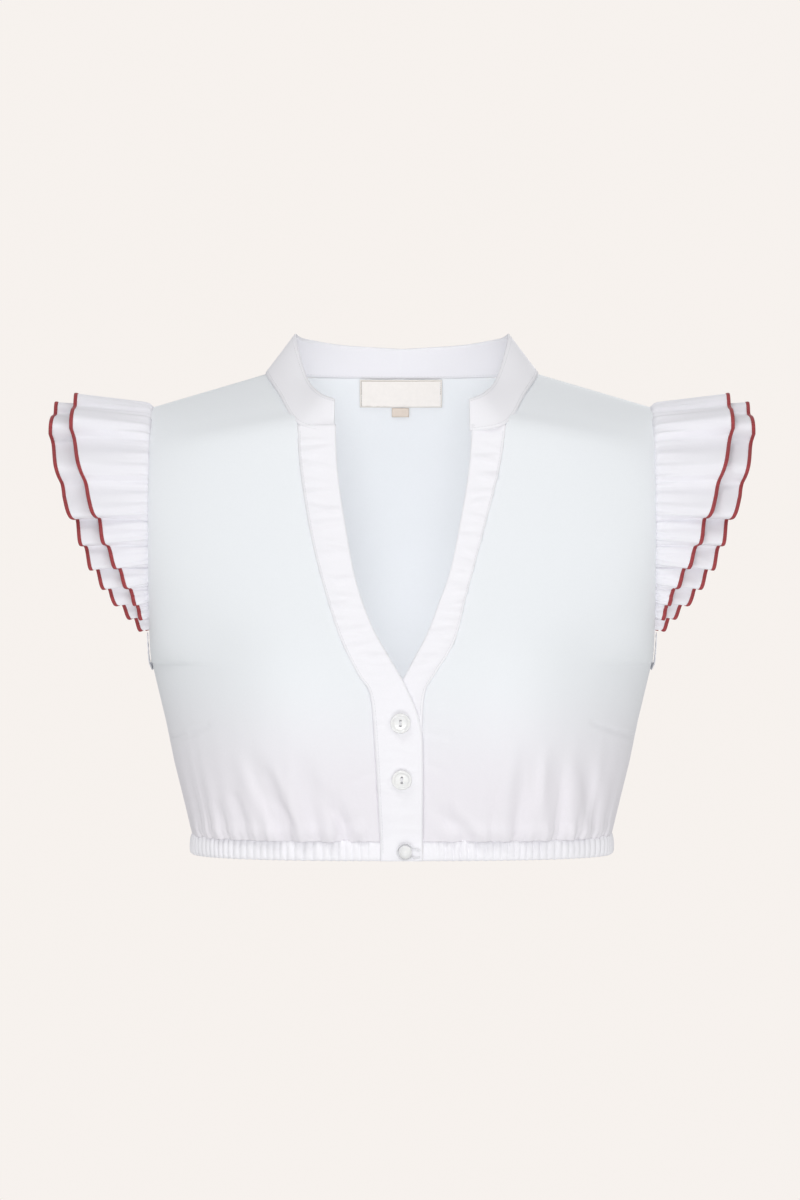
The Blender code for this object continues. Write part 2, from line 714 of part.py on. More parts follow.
def build():
    clean_scene()
    blouse = new_collection("dirndl_blouse")
    cutters = new_collection("cutters")
    add_cloth(blouse, "back", back_grid(), CLOTH_WALL, "cloth", flip=True)
    add_cloth(blouse, "front_right", front_grid(-1), CLOTH_WALL, "cloth", flip=True)
    add_cloth(blouse, "front_left", front_grid(1), CLOTH_WALL, "cloth")
    add_cloth(blouse, "collar_stand", collar_grid(), COLLAR_WALL, "band")
    add_cloth(blouse, "band_right", band_grid(-1, OVER_EDGE, OVER_BAND_OUT), CLOTH_WALL, "band")
    add_cloth(blouse, "band_left", band_grid(1, UNDER_EDGE, UNDER_BAND_OUT), CLOTH_WALL, "band", flip=True)
    add_casing(blouse)
    for side, name in ((-1, "right"), (1, "left")):
        for layer in ("upper", "lower"):
            sleeve = f"sleeve_{name}_{layer}"
            item = add_cloth(blouse, sleeve, ruffle_grid(side, layer), RUFFLE_WALL, "cloth", side < 0)
            item.data.materials.append(principled(f"{sleeve}_edging", "edging"))
            strip = len(item.data.polygons) // 2
            for face in list(item.data.polygons)[strip:]:
                face.material_index = 1
        add_cloth(blouse, f"armhole_binding_{name}", binding_grid(side), CLOTH_WALL, "band", flip=side > 0)
    for name, (x, z) in BUTTON_PLACES.items():
        add_button(blouse, cutters, name, x, z)
    add_hem_button(blouse)
    add_loop(blouse)
    label = lying_sheet(LABEL_WIDE, LABEL_HIGH, LABEL_PLACE, 8, 3)
    add_cloth(blouse, "neck_label", label, LABEL_WALL, "label")
    tab = lying_sheet(TAB_WIDE, TAB_HIGH, TAB_PLACE, 3, 2)
    add_cloth(blouse, "size_tab", tab, LABEL_WALL, "tab")


build()
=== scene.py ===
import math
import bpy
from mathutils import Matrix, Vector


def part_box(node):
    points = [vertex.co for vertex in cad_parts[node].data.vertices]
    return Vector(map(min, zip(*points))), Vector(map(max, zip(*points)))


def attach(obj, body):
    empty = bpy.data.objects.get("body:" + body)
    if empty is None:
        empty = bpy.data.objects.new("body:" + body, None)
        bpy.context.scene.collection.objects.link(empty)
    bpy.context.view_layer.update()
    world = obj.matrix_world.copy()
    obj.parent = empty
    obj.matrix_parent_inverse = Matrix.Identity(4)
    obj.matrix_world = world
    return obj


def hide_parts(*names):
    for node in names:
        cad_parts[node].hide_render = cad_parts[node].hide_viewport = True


bl_info = {
    "name": "Dirndl Blouse",
    "version": (1, 0, 0),
    "blender": (4, 5, 0),
    "location": "3D View > Sidebar > Blouse",
    "description": "Dresses the packed dirndl blouse in white poplin with red overlocked ruffles",
    "category": "Object",
}

from contextlib import contextmanager

import bmesh
import bpy
import numpy as np
from mathutils import Matrix, Vector

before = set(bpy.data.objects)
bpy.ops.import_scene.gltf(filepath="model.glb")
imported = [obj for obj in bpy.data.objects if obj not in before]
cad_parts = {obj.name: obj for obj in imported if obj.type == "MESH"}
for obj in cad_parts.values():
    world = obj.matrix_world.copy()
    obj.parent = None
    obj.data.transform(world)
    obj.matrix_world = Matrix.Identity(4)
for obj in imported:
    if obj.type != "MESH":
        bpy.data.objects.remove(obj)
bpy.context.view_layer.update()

MM = 0.001
BODY = "root"
SIDES = ((-1, "right"), (1, "left"))
FORWARDS = (0.0, -1.0, 0.0)
BACKWARDS = (0.0, 1.0, 0.0)
BLACK = (0.0, 0.0, 0.0, 1.0)

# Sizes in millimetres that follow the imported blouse
SHOULDER_X = 178.0
SHOULDER_Z = -12.0
UNDERARM_Z = -194.0
ARMHOLE_MIDDLE = (SHOULDER_Z + UNDERARM_Z) / 2
ARMHOLE_HALF = (SHOULDER_Z - UNDERARM_Z) / 2
ARMHOLE_FRONT = 58.0
ARMHOLE_BACK = 50.0
NECK_X = 96.5
NECK_Z = 12.0
NECK_BACK_Y = 62.0
NECK_SEAM_Y = 0.4
NECK_POWER = 2.4
NECK_SHARE = 0.55
HEM_BOTTOM_Z = -330.0
HEM_FRONT_Y = 97.0
HEM_BACK_Y = 88.0
HEM_SIDE_X = 149.0
HEM_POWER = 2.5
HEM_OPEN_X = 14.4
BUST_X = 85.0
BUST_Z = -222.0
BUST_RISE = 20.0
BUST_WIDE = 46.0
BUST_HIGH = 52.0
OVER_BAND_OUT = 1.6
UNDER_BAND_OUT = -0.3
BAND_SEAM_OUT = 0.45
PLACKET_SEAM_X = 15.0
COLLAR_TUCK = 0.9
HEM_BUTTON_PLACE = (2.3, -323.5)
LOOP_RADIUS = 0.62
LOOP_END_X = 12.6
LABEL_WIDE = 60.0
LABEL_HIGH = 20.0
LABEL_OUT = 1.5
LABEL_INSET = 1.0
BORDER_STEPS = 24
BUTTON_DRAWN = 14.0
BUTTON_THICK = 2.4
BUTTON_HOLE = 1.8
BUTTON_HOLE_APART = 3.4
EDGING_PITCH = 1.25
STITCH_SHARE = 0.86
STITCH_LIFT = 0.55
# How much deeper the long folds are drawn than in the solids, and a turn that never repeats
FOLD_GAIN = 1.5
GOLDEN_TURN = 2.399
# Heights in metres between which the poplin's colour fades from its painted cool shade into the lower tone
TONE_FADE_TOP = -0.19
TONE_FADE_LOW = -0.29

# Sections of a front, hem first: z at the inner and outer end, x of the inner end on the wearer's
# right and left, y of the inner end, and the power of the rounding to the side.
# Columns: z_in, z_out, x_right, x_left, y_in, power.
FRONT_ROWS = (
    (-316.6, -316.6, 15.2, 13.6, -97.0, 2.5),
    (-290.0, -290.0, 16.6, 13.6, -104.0, 2.5),
    (-255.0, -255.0, 18.6, 13.8, -109.5, 2.4),
    (-215.0, -215.0, 22.0, 15.5, -110.5, 2.3),
    (-201.0, -200.0, 30.3, 22.5, -110.0, 2.2),
    (-177.6, -180.0, 42.0, 36.5, -107.5, 2.1),
    (-146.6, -152.0, 52.4, 44.6, -103.0, 1.9),
    (-105.8, -114.0, 63.0, 55.6, -96.0, 1.8),
    (-57.7, -74.0, 70.9, 68.0, -85.0, 1.7),
    (-27.0, -46.0, 73.0, 72.6, -77.0, 1.6),
    (-16.0, -32.0, 79.5, 79.5, -62.0, 1.5),
    (-5.0, -23.0, 86.0, 86.0, -43.0, 1.4),
    (6.0, -15.5, 93.0, 93.0, -18.0, 1.3),
    (12.0, -12.0, 96.5, 96.5, -0.4, 1.2),
)
# Sections of the back: z and y at the centre, z at the outer end, the power of the rounding and how
# far the section has turned into the neck and shoulder line.
# Columns: z_in, y_in, z_out, power, turned.
BACK_ROWS = (
    (-316.6, 88.0, -316.6, 2.5, 0.0),
    (-290.0, 90.0, -290.0, 2.5, 0.0),
    (-245.0, 91.0, -245.0, 2.4, 0.0),
    (-200.0, 92.0, -200.0, 2.4, 0.0),
    (-150.0, 94.0, -152.0, 2.4, 0.0),
    (-105.0, 94.0, -114.0, 2.3, 0.05),
    (-60.0, 89.0, -74.0, 2.2, 0.2),
    (-32.0, 81.0, -46.0, 2.1, 0.4),
    (-12.0, 73.0, -30.0, 2.0, 0.65),
    (3.0, 66.0, -18.0, 1.9, 0.88),
    (12.0, 62.0, -12.0, 1.8, 1.0),
)
# Half width at the side seam for each height
SIDE_SEAM = (
    (-330.0, 148.5), (-317.0, 149.0), (-292.0, 155.0), (-264.0, 162.0), (-235.0, 168.0), (-194.0, 178.0),
)
# Long folds that the gathered hem sends up, on the front and the back: where each starts, where it
# ends, its depth and its half width. Columns: x_top, z_top, x_low, z_low, deep, wide.
FRONT_FOLDS = (
    (-107.0, -246.0, -79.0, -317.0, 2.6, 5.5), (-70.0, -247.0, -57.0, -317.0, 1.8, 5.5),
    (-55.0, -272.0, -37.0, -317.0, 1.9, 5.0), (-32.0, -292.0, -43.0, -317.0, 1.6, 5.0),
    (-152.0, -257.0, -142.0, -317.0, 2.2, 6.0), (18.0, -286.0, 42.0, -312.0, 2.0, 5.0),
    (88.0, -243.0, 80.0, -317.0, 2.4, 5.5), (110.0, -238.0, 108.0, -317.0, 2.2, 5.0),
    (122.0, -243.0, 138.0, -317.0, 2.6, 5.5), (153.0, -262.0, 146.0, -317.0, 2.0, 5.5),
)
BACK_FOLDS = (
    (-146.0, -268.0, -143.0, -317.0, 2.0, 6.0), (-118.0, -240.0, -126.0, -317.0, 2.5, 6.0),
    (-92.0, -258.0, -97.0, -317.0, 2.0, 5.5), (-66.0, -232.0, -68.0, -317.0, 2.6, 6.0),
    (-38.0, -262.0, -36.0, -317.0, 1.9, 5.5), (-10.0, -240.0, -12.0, -317.0, 2.4, 6.0),
    (16.0, -270.0, 18.0, -317.0, 1.8, 5.5), (45.0, -236.0, 47.0, -317.0, 2.5, 6.0),
    (72.0, -262.0, 76.0, -317.0, 1.9, 5.5), (99.0, -244.0, 105.0, -317.0, 2.4, 6.0),
    (126.0, -266.0, 129.0, -317.0, 1.9, 5.5), (148.0, -252.0, 145.0, -317.0, 2.0, 6.0),
)
# Finer creases and dart lines between them, with the same columns
FRONT_CREASES = (
    (-134.0, -236.0, -149.0, -243.0, 0.9, 1.6), (-149.0, -243.0, -166.0, -248.0, 0.9, 1.6),
    (131.0, -234.0, 150.0, -241.0, 1.0, 1.3), (150.0, -241.0, 167.0, -247.0, 1.0, 1.3),
    (-93.0, -268.0, -74.0, -317.0, 0.8, 2.4), (-88.0, -288.0, -66.0, -317.0, 0.6, 2.2),
    (-118.0, -283.0, -104.0, -317.0, 0.7, 2.4), (-131.0, -290.0, -121.0, -317.0, 0.7, 2.4),
    (-50.0, -292.0, -30.0, -317.0, 0.6, 2.2), (-26.0, -298.0, -22.0, -317.0, 0.5, 2.0),
    (30.0, -290.0, 52.0, -316.0, 0.7, 2.2), (62.0, -284.0, 63.0, -317.0, 0.6, 2.2),
    (92.0, -262.0, 94.0, -317.0, 0.8, 2.4), (117.0, -272.0, 124.0, -317.0, 0.7, 2.2),
    (17.0, -241.0, 34.0, -244.0, 0.6, 2.0), (18.0, -222.0, 33.0, -217.0, 0.5, 2.0),
    (17.0, -262.0, 30.0, -268.0, 0.4, 1.8), (-21.0, -268.0, -34.0, -275.0, 0.4, 2.0),
)
BACK_CREASES = (
    (-120.0, -262.0, -112.0, -317.0, 0.8, 2.4), (-80.0, -272.0, -82.0, -317.0, 0.7, 2.4),
    (-50.0, -256.0, -52.0, -317.0, 0.8, 2.4), (-22.0, -278.0, -24.0, -317.0, 0.6, 2.2),
    (4.0, -262.0, 3.0, -317.0, 0.7, 2.4), (32.0, -280.0, 33.0, -317.0, 0.6, 2.2),
    (60.0, -266.0, 61.0, -317.0, 0.8, 2.4), (88.0, -276.0, 90.0, -317.0, 0.6, 2.2),
    (114.0, -262.0, 118.0, -317.0, 0.8, 2.4), (-60.0, -60.0, -140.0, -96.0, 0.7, 6.0),
    (58.0, -58.0, 138.0, -100.0, 0.7, 6.0),
)
# Free edge of each V band and placket, top first: height and x
OVER_EDGE = (
    (-31.0, -46.0), (-61.0, -44.5), (-99.0, -38.8), (-136.0, -31.7), (-164.0, -22.0), (-180.0, -13.8),
    (-204.0, 0.3), (-213.0, 4.5), (-226.0, 10.3), (-240.0, 13.4), (-257.0, 14.4), (-330.0, 14.3),
)
UNDER_EDGE = (
    (-31.0, 48.5), (-61.0, 46.0), (-99.0, 39.5), (-130.0, 33.0), (-151.0, 25.5), (-171.0, 17.9),
    (-186.0, 10.3), (-204.0, 0.7), (-213.0, -4.0), (-226.0, -9.8), (-240.0, -13.0), (-257.0, -14.2),
    (-330.0, -14.2),
)
# Collar stations from the front end to the centre back.
# Columns: x_base, y_base, z_base, x_top, y_top, z_top.
COLLAR_ROWS = (
    (47.0, -80.0, -31.2, 47.0, -73.0, -9.0),
    (72.0, -77.0, -26.0, 57.0, -64.0, -4.5),
    (86.0, -44.0, -4.0, 67.0, -38.0, 8.0),
    (96.5, 1.0, 13.0, 76.0, 0.0, 39.0),
    (89.0, 36.0, 14.0, 70.0, 29.0, 39.0),
    (52.0, 57.0, 13.0, 43.0, 47.0, 35.5),
    (0.0, 62.0, 12.8, 0.0, 52.0, 33.0),
)
# Where each ruffle fold starts, and the widths of the two layers
RUFFLE_FOLDS = (-14.5, -34.0, -63.0, -91.0, -109.0, -125.0, -139.0, -151.0)
RUFFLE_ENDS = {"upper": (-161.0,), "lower": (-161.0, -170.0)}
# How strongly the folds are turned over, from the shoulder down
RUFFLE_STRENGTH = (0.75, 1.3, 0.75, 1.3, 0.8, 1.2, 0.9, 0.9)
FOLD_SHARE = 0.26
FOLD_MOST = 5.6
FOLD_LEAN = 0.74
SEAM_WAVE = 0.6
# How far each layer stands off the armhole's line, and how much it spreads for each millimetre out
RUFFLE_OFF = {"upper": 1.7, "lower": -1.7}
RUFFLE_FLARE = {"upper": 0.10, "lower": 0.03}
WIDTH_COLUMNS = ("z", "lower", "upper")
RUFFLE_WIDTHS = (
    (-12.0, 70.0, 56.0),
    (-34.0, 72.0, 57.0),
    (-54.0, 67.0, 51.0),
    (-76.0, 61.0, 44.0),
    (-92.0, 53.0, 37.0),
    (-108.0, 48.0, 32.0),
    (-124.0, 41.0, 24.0),
    (-145.0, 28.0, 13.0),
    (-161.0, 14.0, 7.0),
    (-170.0, 7.0, 7.0),
)
# Outline of the casing: distance out from the hem line, height, share of the gathers it takes
CASING_OUTLINE = (
    (0.4, -315.6, 0.7),
    (0.9, -316.6, 0.8),
    (1.2, -318.0, 0.85),
    (1.5, -319.3, 0.95),
    (1.6, -321.0, 1.0),
    (1.7, -323.5, 1.0),
    (1.5, -327.0, 1.0),
    (1.0, -329.2, 0.9),
    (0.1, -330.0, 0.6),
    (-0.9, -329.4, 0.6),
    (-1.5, -327.0, 0.8),
    (-1.6, -323.5, 0.8),
    (-1.5, -320.0, 0.8),
    (-1.2, -317.4, 0.6),
    (-0.5, -315.6, 0.3),
)
# Half section of a button from its back to its dished face: radius and height
BUTTON_PROFILE = (
    (0.0, 0.0), (5.4, 0.0), (6.4, 0.35), (6.9, 0.9), (7.0, 1.4), (6.85, 1.9), (6.5, 2.25), (6.0, 2.4),
    (5.5, 2.3), (5.1, 2.0), (4.7, 1.72), (4.1, 1.62), (2.0, 1.58), (0.0, 1.58),
)
# Section of the overlocked edge: share of its width, half thickness
EDGING_SECTION = ((0.0, 0.42), (0.34, 0.62), (0.7, 0.66), (1.0, 0.34))
# Shape of one lockstitch: share of its length, how many thread radii it stands out
STITCH_SECTIONS = ((0.0, -0.9), (0.14, 0.1), (0.5, 0.55), (0.86, 0.1), (1.0, -0.9))
# Soft light panels: name, place, target, size and watts
STAGE_MIDDLE = (0.0, 0.0, -0.15)
LIGHTS = (
    ("Key light", (-0.7, -1.5, 1.9), STAGE_MIDDLE, (0.9, 0.7), 11.0),
    ("Fill light", (1.7, -1.6, 0.5), STAGE_MIDDLE, (1.0, 1.0), 4.4),
    ("Front light", (0.0, -3.5, -0.1), STAGE_MIDDLE, (1.0, 0.6), 18.6),
    ("Cloth light", (0.0, -0.02, -0.13), (0.0, 0.1, -0.13), (0.12, 0.24), 0.06),
    ("Floor light", (0.0, -1.6, -1.4), STAGE_MIDDLE, (1.6, 0.8), 9.0),
    ("Rear light", (0.6, 2.6, 0.9), STAGE_MIDDLE, (1.4, 1.0), 26.0),
)
WORLD_STRENGTH = 0.535
CAMERA_PLACE = (-0.0014, -3.0, -0.1494)
SENSOR_WIDTH = 36.0
LENS_LENGTH = 125.9


def srgb(text):
    """The linear colour of an sRGB hex value."""
    values = [int(text[at : at + 2], 16) / 255 for at in (1, 3, 5)]
    return tuple(v / 12.92 if v <= 0.04045 else ((v + 0.055) / 1.055) ** 2.4 for v in values)


def length_property(name, description, default):
    return bpy.props.FloatProperty(
        name=name, description=description, default=default, min=0.0001, unit="LENGTH"
    )


def colour_property(name, description, text):
    return bpy.props.FloatVectorProperty(
        name=name, description=description, subtype="COLOR", size=3, min=0.0, max=1.0, default=srgb(text)
    )


class BlouseSizes(bpy.types.PropertyGroup):
    cloth_wall: length_property("Cloth wall", "Thickness of the poplin shell", 0.0006)
    collar_wall: length_property("Collar wall", "Thickness of the interlined collar and bands", 0.0011)
    gather_pitch: length_property("Gather pitch", "Distance between two gathers at the hem", 0.0054)
    gather_height: length_property("Gather height", "How far a hem gather stands out", 0.0011)
    edging_width: length_property("Edging width", "Width of the overlocked ruffle edge", 0.0026)
    stitch_length: length_property("Stitch length", "Length of one lockstitch", 0.0024)
    thread_width: length_property("Thread width", "Width of the sewing thread", 0.00035)
    button_width: length_property("Button width", "Diameter of a placket button", 0.014)


class BlouseColours(bpy.types.PropertyGroup):
    # The poplin colour holds a painted cool shade, for the inside seen through one layer; the colour after
    # it is the tone it fades to by height from the bust down
    poplin: colour_property("Poplin", "Single layer of white poplin", "#F3F6F9")
    lower_tone: colour_property("Gathered poplin", "Poplin crowded in the gathers above the hem", "#F4F1F6")
    band: colour_property("Band", "Interlined poplin of the collar, bands and casing", "#FAF9FD")
    # The ruffle colour is the white poplin painted a little darker, painted shade that tones down the
    # stronger light on the ruffles
    ruffle: colour_property("Ruffle", "Poplin of the ruffles", "#F4F3F8")
    edging: colour_property("Edging", "Overlock thread", "#A4373B")
    button: colour_property("Button", "Polyester button", "#F7F6F3")
    thread: colour_property("Thread", "White sewing thread", "#F1F1F4")
    label: colour_property("Label", "Woven satin label", "#FBF6F1")
    label_thread: colour_property("Label thread", "Border of the label", "#C9BEB2")
    tab: colour_property("Tab", "Woven size tab", "#E6D8CB")
    backdrop: colour_property("Backdrop", "Studio paper all round", "#F7F2EE")


def sizes():
    return bpy.context.scene.blouse_sizes


def ease(value):
    value = np.clip(value, 0.0, 1.0)
    return value * value * (3.0 - 2.0 * value)


def lookup(table, at, column=1):
    rows = sorted(table)
    return np.interp(at, [row[0] for row in rows], [row[column] for row in rows])


def unit(vectors):
    return vectors / np.maximum(np.linalg.norm(vectors, axis=-1, keepdims=True), 1e-9)


def path_lengths(points):
    """Distance along a path to each of its points."""
    return np.concatenate([[0.0], np.cumsum(np.linalg.norm(np.diff(points, axis=0), axis=1))])


def smooth_stations(rows, spacing):
    """Stations on a smooth curve through the rows of a table, about that many millimetres apart."""
    rows = np.array(rows, float)
    stations = []
    for index in range(len(rows) - 1):
        a = rows[max(index - 1, 0)]
        b = rows[index]
        c = rows[index + 1]
        d = rows[min(index + 2, len(rows) - 1)]
        steps = max(2, round(float(np.linalg.norm((c - b)[:3])) / spacing))
        for t in np.arange(steps) / steps:
            bend = 2 * b + (c - a) * t + (2 * a - 5 * b + 4 * c - d) * t**2 + (3 * b - a - 3 * c + d) * t**3
            stations.append(bend / 2)
    stations.append(rows[-1])
    return np.array(stations)


def station_columns(rows, spacing):
    return smooth_stations(rows, spacing).T[:, :, None]


def outward_normals(grid, towards):
    """The normals of a grid of points, on the side that looks towards a direction."""
    normal = unit(np.cross(np.gradient(grid, axis=1), np.gradient(grid, axis=0)))
    return normal * np.sign((normal * towards).sum(axis=2).mean())


def bust(x, z):
    """How far the cups stand out in front of the plain section."""
    wide = (np.abs(x) - BUST_X) / BUST_WIDE
    high = (z - BUST_Z) / BUST_HIGH
    return BUST_RISE * np.exp(-(wide * wide + high * high) / 2)


def side_x(z):
    """Half width of the body: at the side seam, or at the armhole above it."""
    return np.where(z <= UNDERARM_Z, lookup(SIDE_SEAM, z), SHOULDER_X)


def side_y(z, deep):
    """How far the side edge stands from the seam's plane: half a seam gap, or the armhole's oval."""
    oval = deep * np.sqrt(np.maximum(0.0, 1.0 - ((z - ARMHOLE_MIDDLE) / ARMHOLE_HALF) ** 2))
    return np.where(z <= UNDERARM_Z, 0.2, np.maximum(0.35, oval))


def trough(across, lip, apart):
    """A soft furrow with a low lip on both sides."""
    return np.exp(-across * across / 2) - lip * np.exp(-((np.abs(across) - apart) ** 2))


def fold_depth(x, z, folds):
    """How far the long folds sink the cloth."""
    total = np.zeros_like(x)
    for x_top, z_top, x_low, z_low, deep, wide in folds:
        along = np.clip((z_top - z) / (z_top - z_low), 0.0, 1.0)
        across = (x - x_top - (x_low - x_top) * along) / wide
        total += FOLD_GAIN * deep * ease(along * 1.6) * trough(across, 0.45, 2.1)
    return total


def crease_depth(x, z, creases):
    """How far the fine creases sink the cloth: each fades out at its ends."""
    total = np.zeros_like(x)
    for x_top, z_top, x_low, z_low, deep, wide in creases:
        run = np.array([x_low - x_top, z_low - z_top])
        length = np.linalg.norm(run)
        along = ((x - x_top) * run[0] + (z - z_top) * run[1]) / length**2
        across = ((x - x_top) * run[1] - (z - z_top) * run[0]) / length / wide
        fade = ease(along * 4.0 + 0.5) * ease((1.06 - along) * 9.0)
        total += deep * fade * trough(across, 0.4, 2.3)
    return total


def unrest(u, v, seed):
    """A soft uneven value between about -1 and 1 for cloth that is never quite even."""
    value = np.zeros_like(u)
    for step in range(1, 5):
        turn = seed * 1.7 + step * GOLDEN_TURN
        value += np.sin(u * step * math.cos(turn) + v * step * math.sin(turn) + seed * step) / step
    return value / 2.1


def hem_curve():
    """The whole hem line from the centre front round the back: angle, points and distance along."""
    angle = np.linspace(0.0, 2 * math.pi, 2881)
    c = np.cos(angle + math.pi)
    s = np.sin(angle + math.pi)
    x = HEM_SIDE_X * np.sign(s) * np.abs(s) ** (2.0 / HEM_POWER)
    y = np.where(c > 0, HEM_BACK_Y, HEM_FRONT_Y) * np.sign(c) * np.abs(c) ** (2.0 / HEM_POWER)
    points = np.stack([x, y], axis=1)
    return angle, points, path_lengths(points)


def hem_along(x, y):
    """Distance along the hem line that belongs to a place on it."""
    angle, points, along = hem_curve()
    deep = np.where(y > 0, HEM_BACK_Y, HEM_FRONT_Y)
    s = np.sign(x) * np.abs(x / HEM_SIDE_X) ** (HEM_POWER / 2)
    c = np.sign(y) * np.abs(y / deep) ** (HEM_POWER / 2)
    return np.interp((np.arctan2(s, c) - math.pi) % (2 * math.pi), angle, along)


def gather_phase(at):
    """Phase of the uneven gathers at a distance along the hem."""
    uneven = at + 1.7 * np.sin(at / 19.0) + 1.1 * np.sin(at / 7.7 + 1.0)
    return uneven * 2 * math.pi / (sizes().gather_pitch / MM)


def hem_gathers(grid):
    """Gathers that puff out above the casing's stitch line, uneven in height, and fade upwards."""
    rows = np.linalg.norm(np.diff(grid, axis=0), axis=2)
    up = np.concatenate([np.zeros((1, grid.shape[1])), np.cumsum(rows, axis=0)], axis=0)
    at = hem_along(grid[:1, :, 0], grid[:1, :, 1])
    phase = gather_phase(at)
    reach = 5.0 + 4.0 * np.sin(at / 17.3) ** 2 + 9.0 * np.maximum(0.0, np.sin(at / 11.0 + 1.0)) ** 4
    fine = 0.85 * (np.abs(np.cos(phase / 2)) ** 0.8 * 2.0 - 1.2) * np.exp(-up / reach)
    broad = np.sin(phase / 3.0 + 0.7) * np.exp(-up / 26.0)
    swell = 1.3 * np.exp(-(((up - 7.0) / 5.0) ** 2))
    return (fine + broad) * ease(up / 2.6 + 0.45) + swell * ease(up / 3.0)


def soften_underarm(y_out, z_out, f):
    """The cloth turns into the armhole gently, and follows its oval only near the edge."""
    soft = y_out * np.where(z_out > UNDERARM_Z, ease((z_out - UNDERARM_Z) / 45.0), 1.0)
    return soft + (y_out - soft) * ease((f - 0.55) / 0.45)


def front_surface(side, columns=136):
    z_in, z_out, x_right, x_left, y_in, power = station_columns(FRONT_ROWS, 2.6)
    x_in = (x_right if side < 0 else x_left) - 1.2 * ease((-26.0 - z_in) / 10.0)
    angle = np.linspace(0.0, math.pi / 2, columns + 1)[None, :]
    inwards = np.maximum(np.cos(angle), 0.0)
    f = np.sin(angle) ** (2.0 / power)
    x = x_in + (side_x(z_out) - x_in) * f
    z = z_in + (z_out - z_in) * f
    y_out = soften_underarm(-side_y(z_out, ARMHOLE_FRONT), z_out, f)
    y = y_in + (y_out - y_in) * (1.0 - inwards ** (2.0 / power)) - bust(x, z) * inwards**0.8
    seam = ease((1.0 - f) * 5.0) * ease((z + 140.0) / -40.0)
    y = y + fold_depth(side * x, z, FRONT_FOLDS) * seam * ease(f * 8.0)
    grid = np.stack([side * x, y, z], axis=2)
    flat = ease((x - 16.0) / 22.0) * ease((1.0 - f) * 14.0)
    rise = hem_gathers(grid) * flat - crease_depth(side * x, z, FRONT_CREASES) * ease((1.0 - f) * 40.0)
    edges = ease(f * 10.0) * ease((1.0 - f) * 10.0)
    rise = rise + 0.35 * unrest(x / 31.0, z / 37.0, 2.0 + side) * edges
    return grid + outward_normals(grid, FORWARDS) * rise[:, :, None]


def back_half(rows, spacing, share):
    """Half of the back at shares of its width: x, y, z and how far out each place is."""
    z_in, y_in, z_out, power, turned = station_columns(rows, spacing)
    turned = np.clip(turned, 0.0, 1.0)
    angle = share * math.pi / 2
    f = np.sin(angle) ** (2.0 / power)
    x = side_x(z_out) * f
    y_out = side_y(z_out, ARMHOLE_BACK)
    y_soft = soften_underarm(y_out, z_out, f)
    y = y_soft + (y_in - y_soft) * np.maximum(np.cos(angle), 0.0) ** (2.0 / power)
    z = z_in + (z_out - z_in) * f
    turn = np.clip(share / NECK_SHARE, 0.0, 1.0) * math.pi / 2
    neck_x = NECK_X * np.sin(turn) ** (2.0 / NECK_POWER)
    neck_y = NECK_SEAM_Y + (NECK_BACK_Y - NECK_SEAM_Y) * np.cos(turn) ** (2.0 / NECK_POWER)
    along = np.clip((share - NECK_SHARE) / (1.0 - NECK_SHARE), 0.0, 1.0)
    at_neck = share <= NECK_SHARE
    top_x = np.where(at_neck, neck_x, NECK_X + (SHOULDER_X - NECK_X) * along)
    top_y = np.where(at_neck, neck_y, NECK_SEAM_Y + (y_out - NECK_SEAM_Y) * along)
    top_z = np.where(at_neck, NECK_Z, NECK_Z + (z_out - NECK_Z) * along)
    return x + (top_x - x) * turned, y + (top_y - y) * turned, z + (top_z - z) * turned**2, f


def back_surface(columns=120):
    x, y, z, f = back_half(BACK_ROWS, 3.8, np.linspace(0.0, 1.0, columns + 1)[None, :])
    both = []
    for side in (-1, 1):
        deep = fold_depth(side * x, z, BACK_FOLDS) * ease((1.0 - f) * 5.0)
        half = np.stack([side * x, y - deep, z], axis=2)
        both.append(half[:, ::-1] if side < 0 else half[:, 1:])
    grid = np.concatenate(both, axis=1)
    across = np.linspace(-1.0, 1.0, grid.shape[1])[None, :]
    edges = ease((1.0 - np.abs(across)) * 14.0)
    x = grid[:, :, 0]
    z = grid[:, :, 2]
    rise = hem_gathers(grid) * edges - crease_depth(x, z, BACK_CREASES) * edges
    level = np.linspace(0.0, 1.0, grid.shape[0])[:, None]
    rise = rise + 0.5 * unrest(x / 37.0, z / 41.0, 5.0) * edges * ease((1.0 - level) * 12.0)
    return grid + outward_normals(grid, BACKWARDS) * rise[:, :, None]


def back_lining(x, z):
    """Depth of the back's inside near the neck."""
    share = np.linspace(0.0, NECK_SHARE, 23)[None, :]
    xs, ys, zs, f = back_half(BACK_ROWS[4:], 8.0, share)
    profile = [(np.interp(abs(x), a, c), np.interp(abs(x), a, b)) for a, b, c in zip(xs, ys, zs)]
    return float(lookup(profile, z))


def inner_edge():
    """The fronts' inner edge: height, x on the right, x on the left and y."""
    return [(s[0], s[2], s[3], s[4]) for s in smooth_stations(FRONT_ROWS[:10], 6.0)]


def band_y(x, x_seam, z):
    flatter = 0.10 * np.maximum(0.0, np.abs(x_seam) - np.abs(x)) * ease((z + 200.0) / 60.0)
    return lookup(inner_edge(), z, 3) - flatter - bust(x, z)


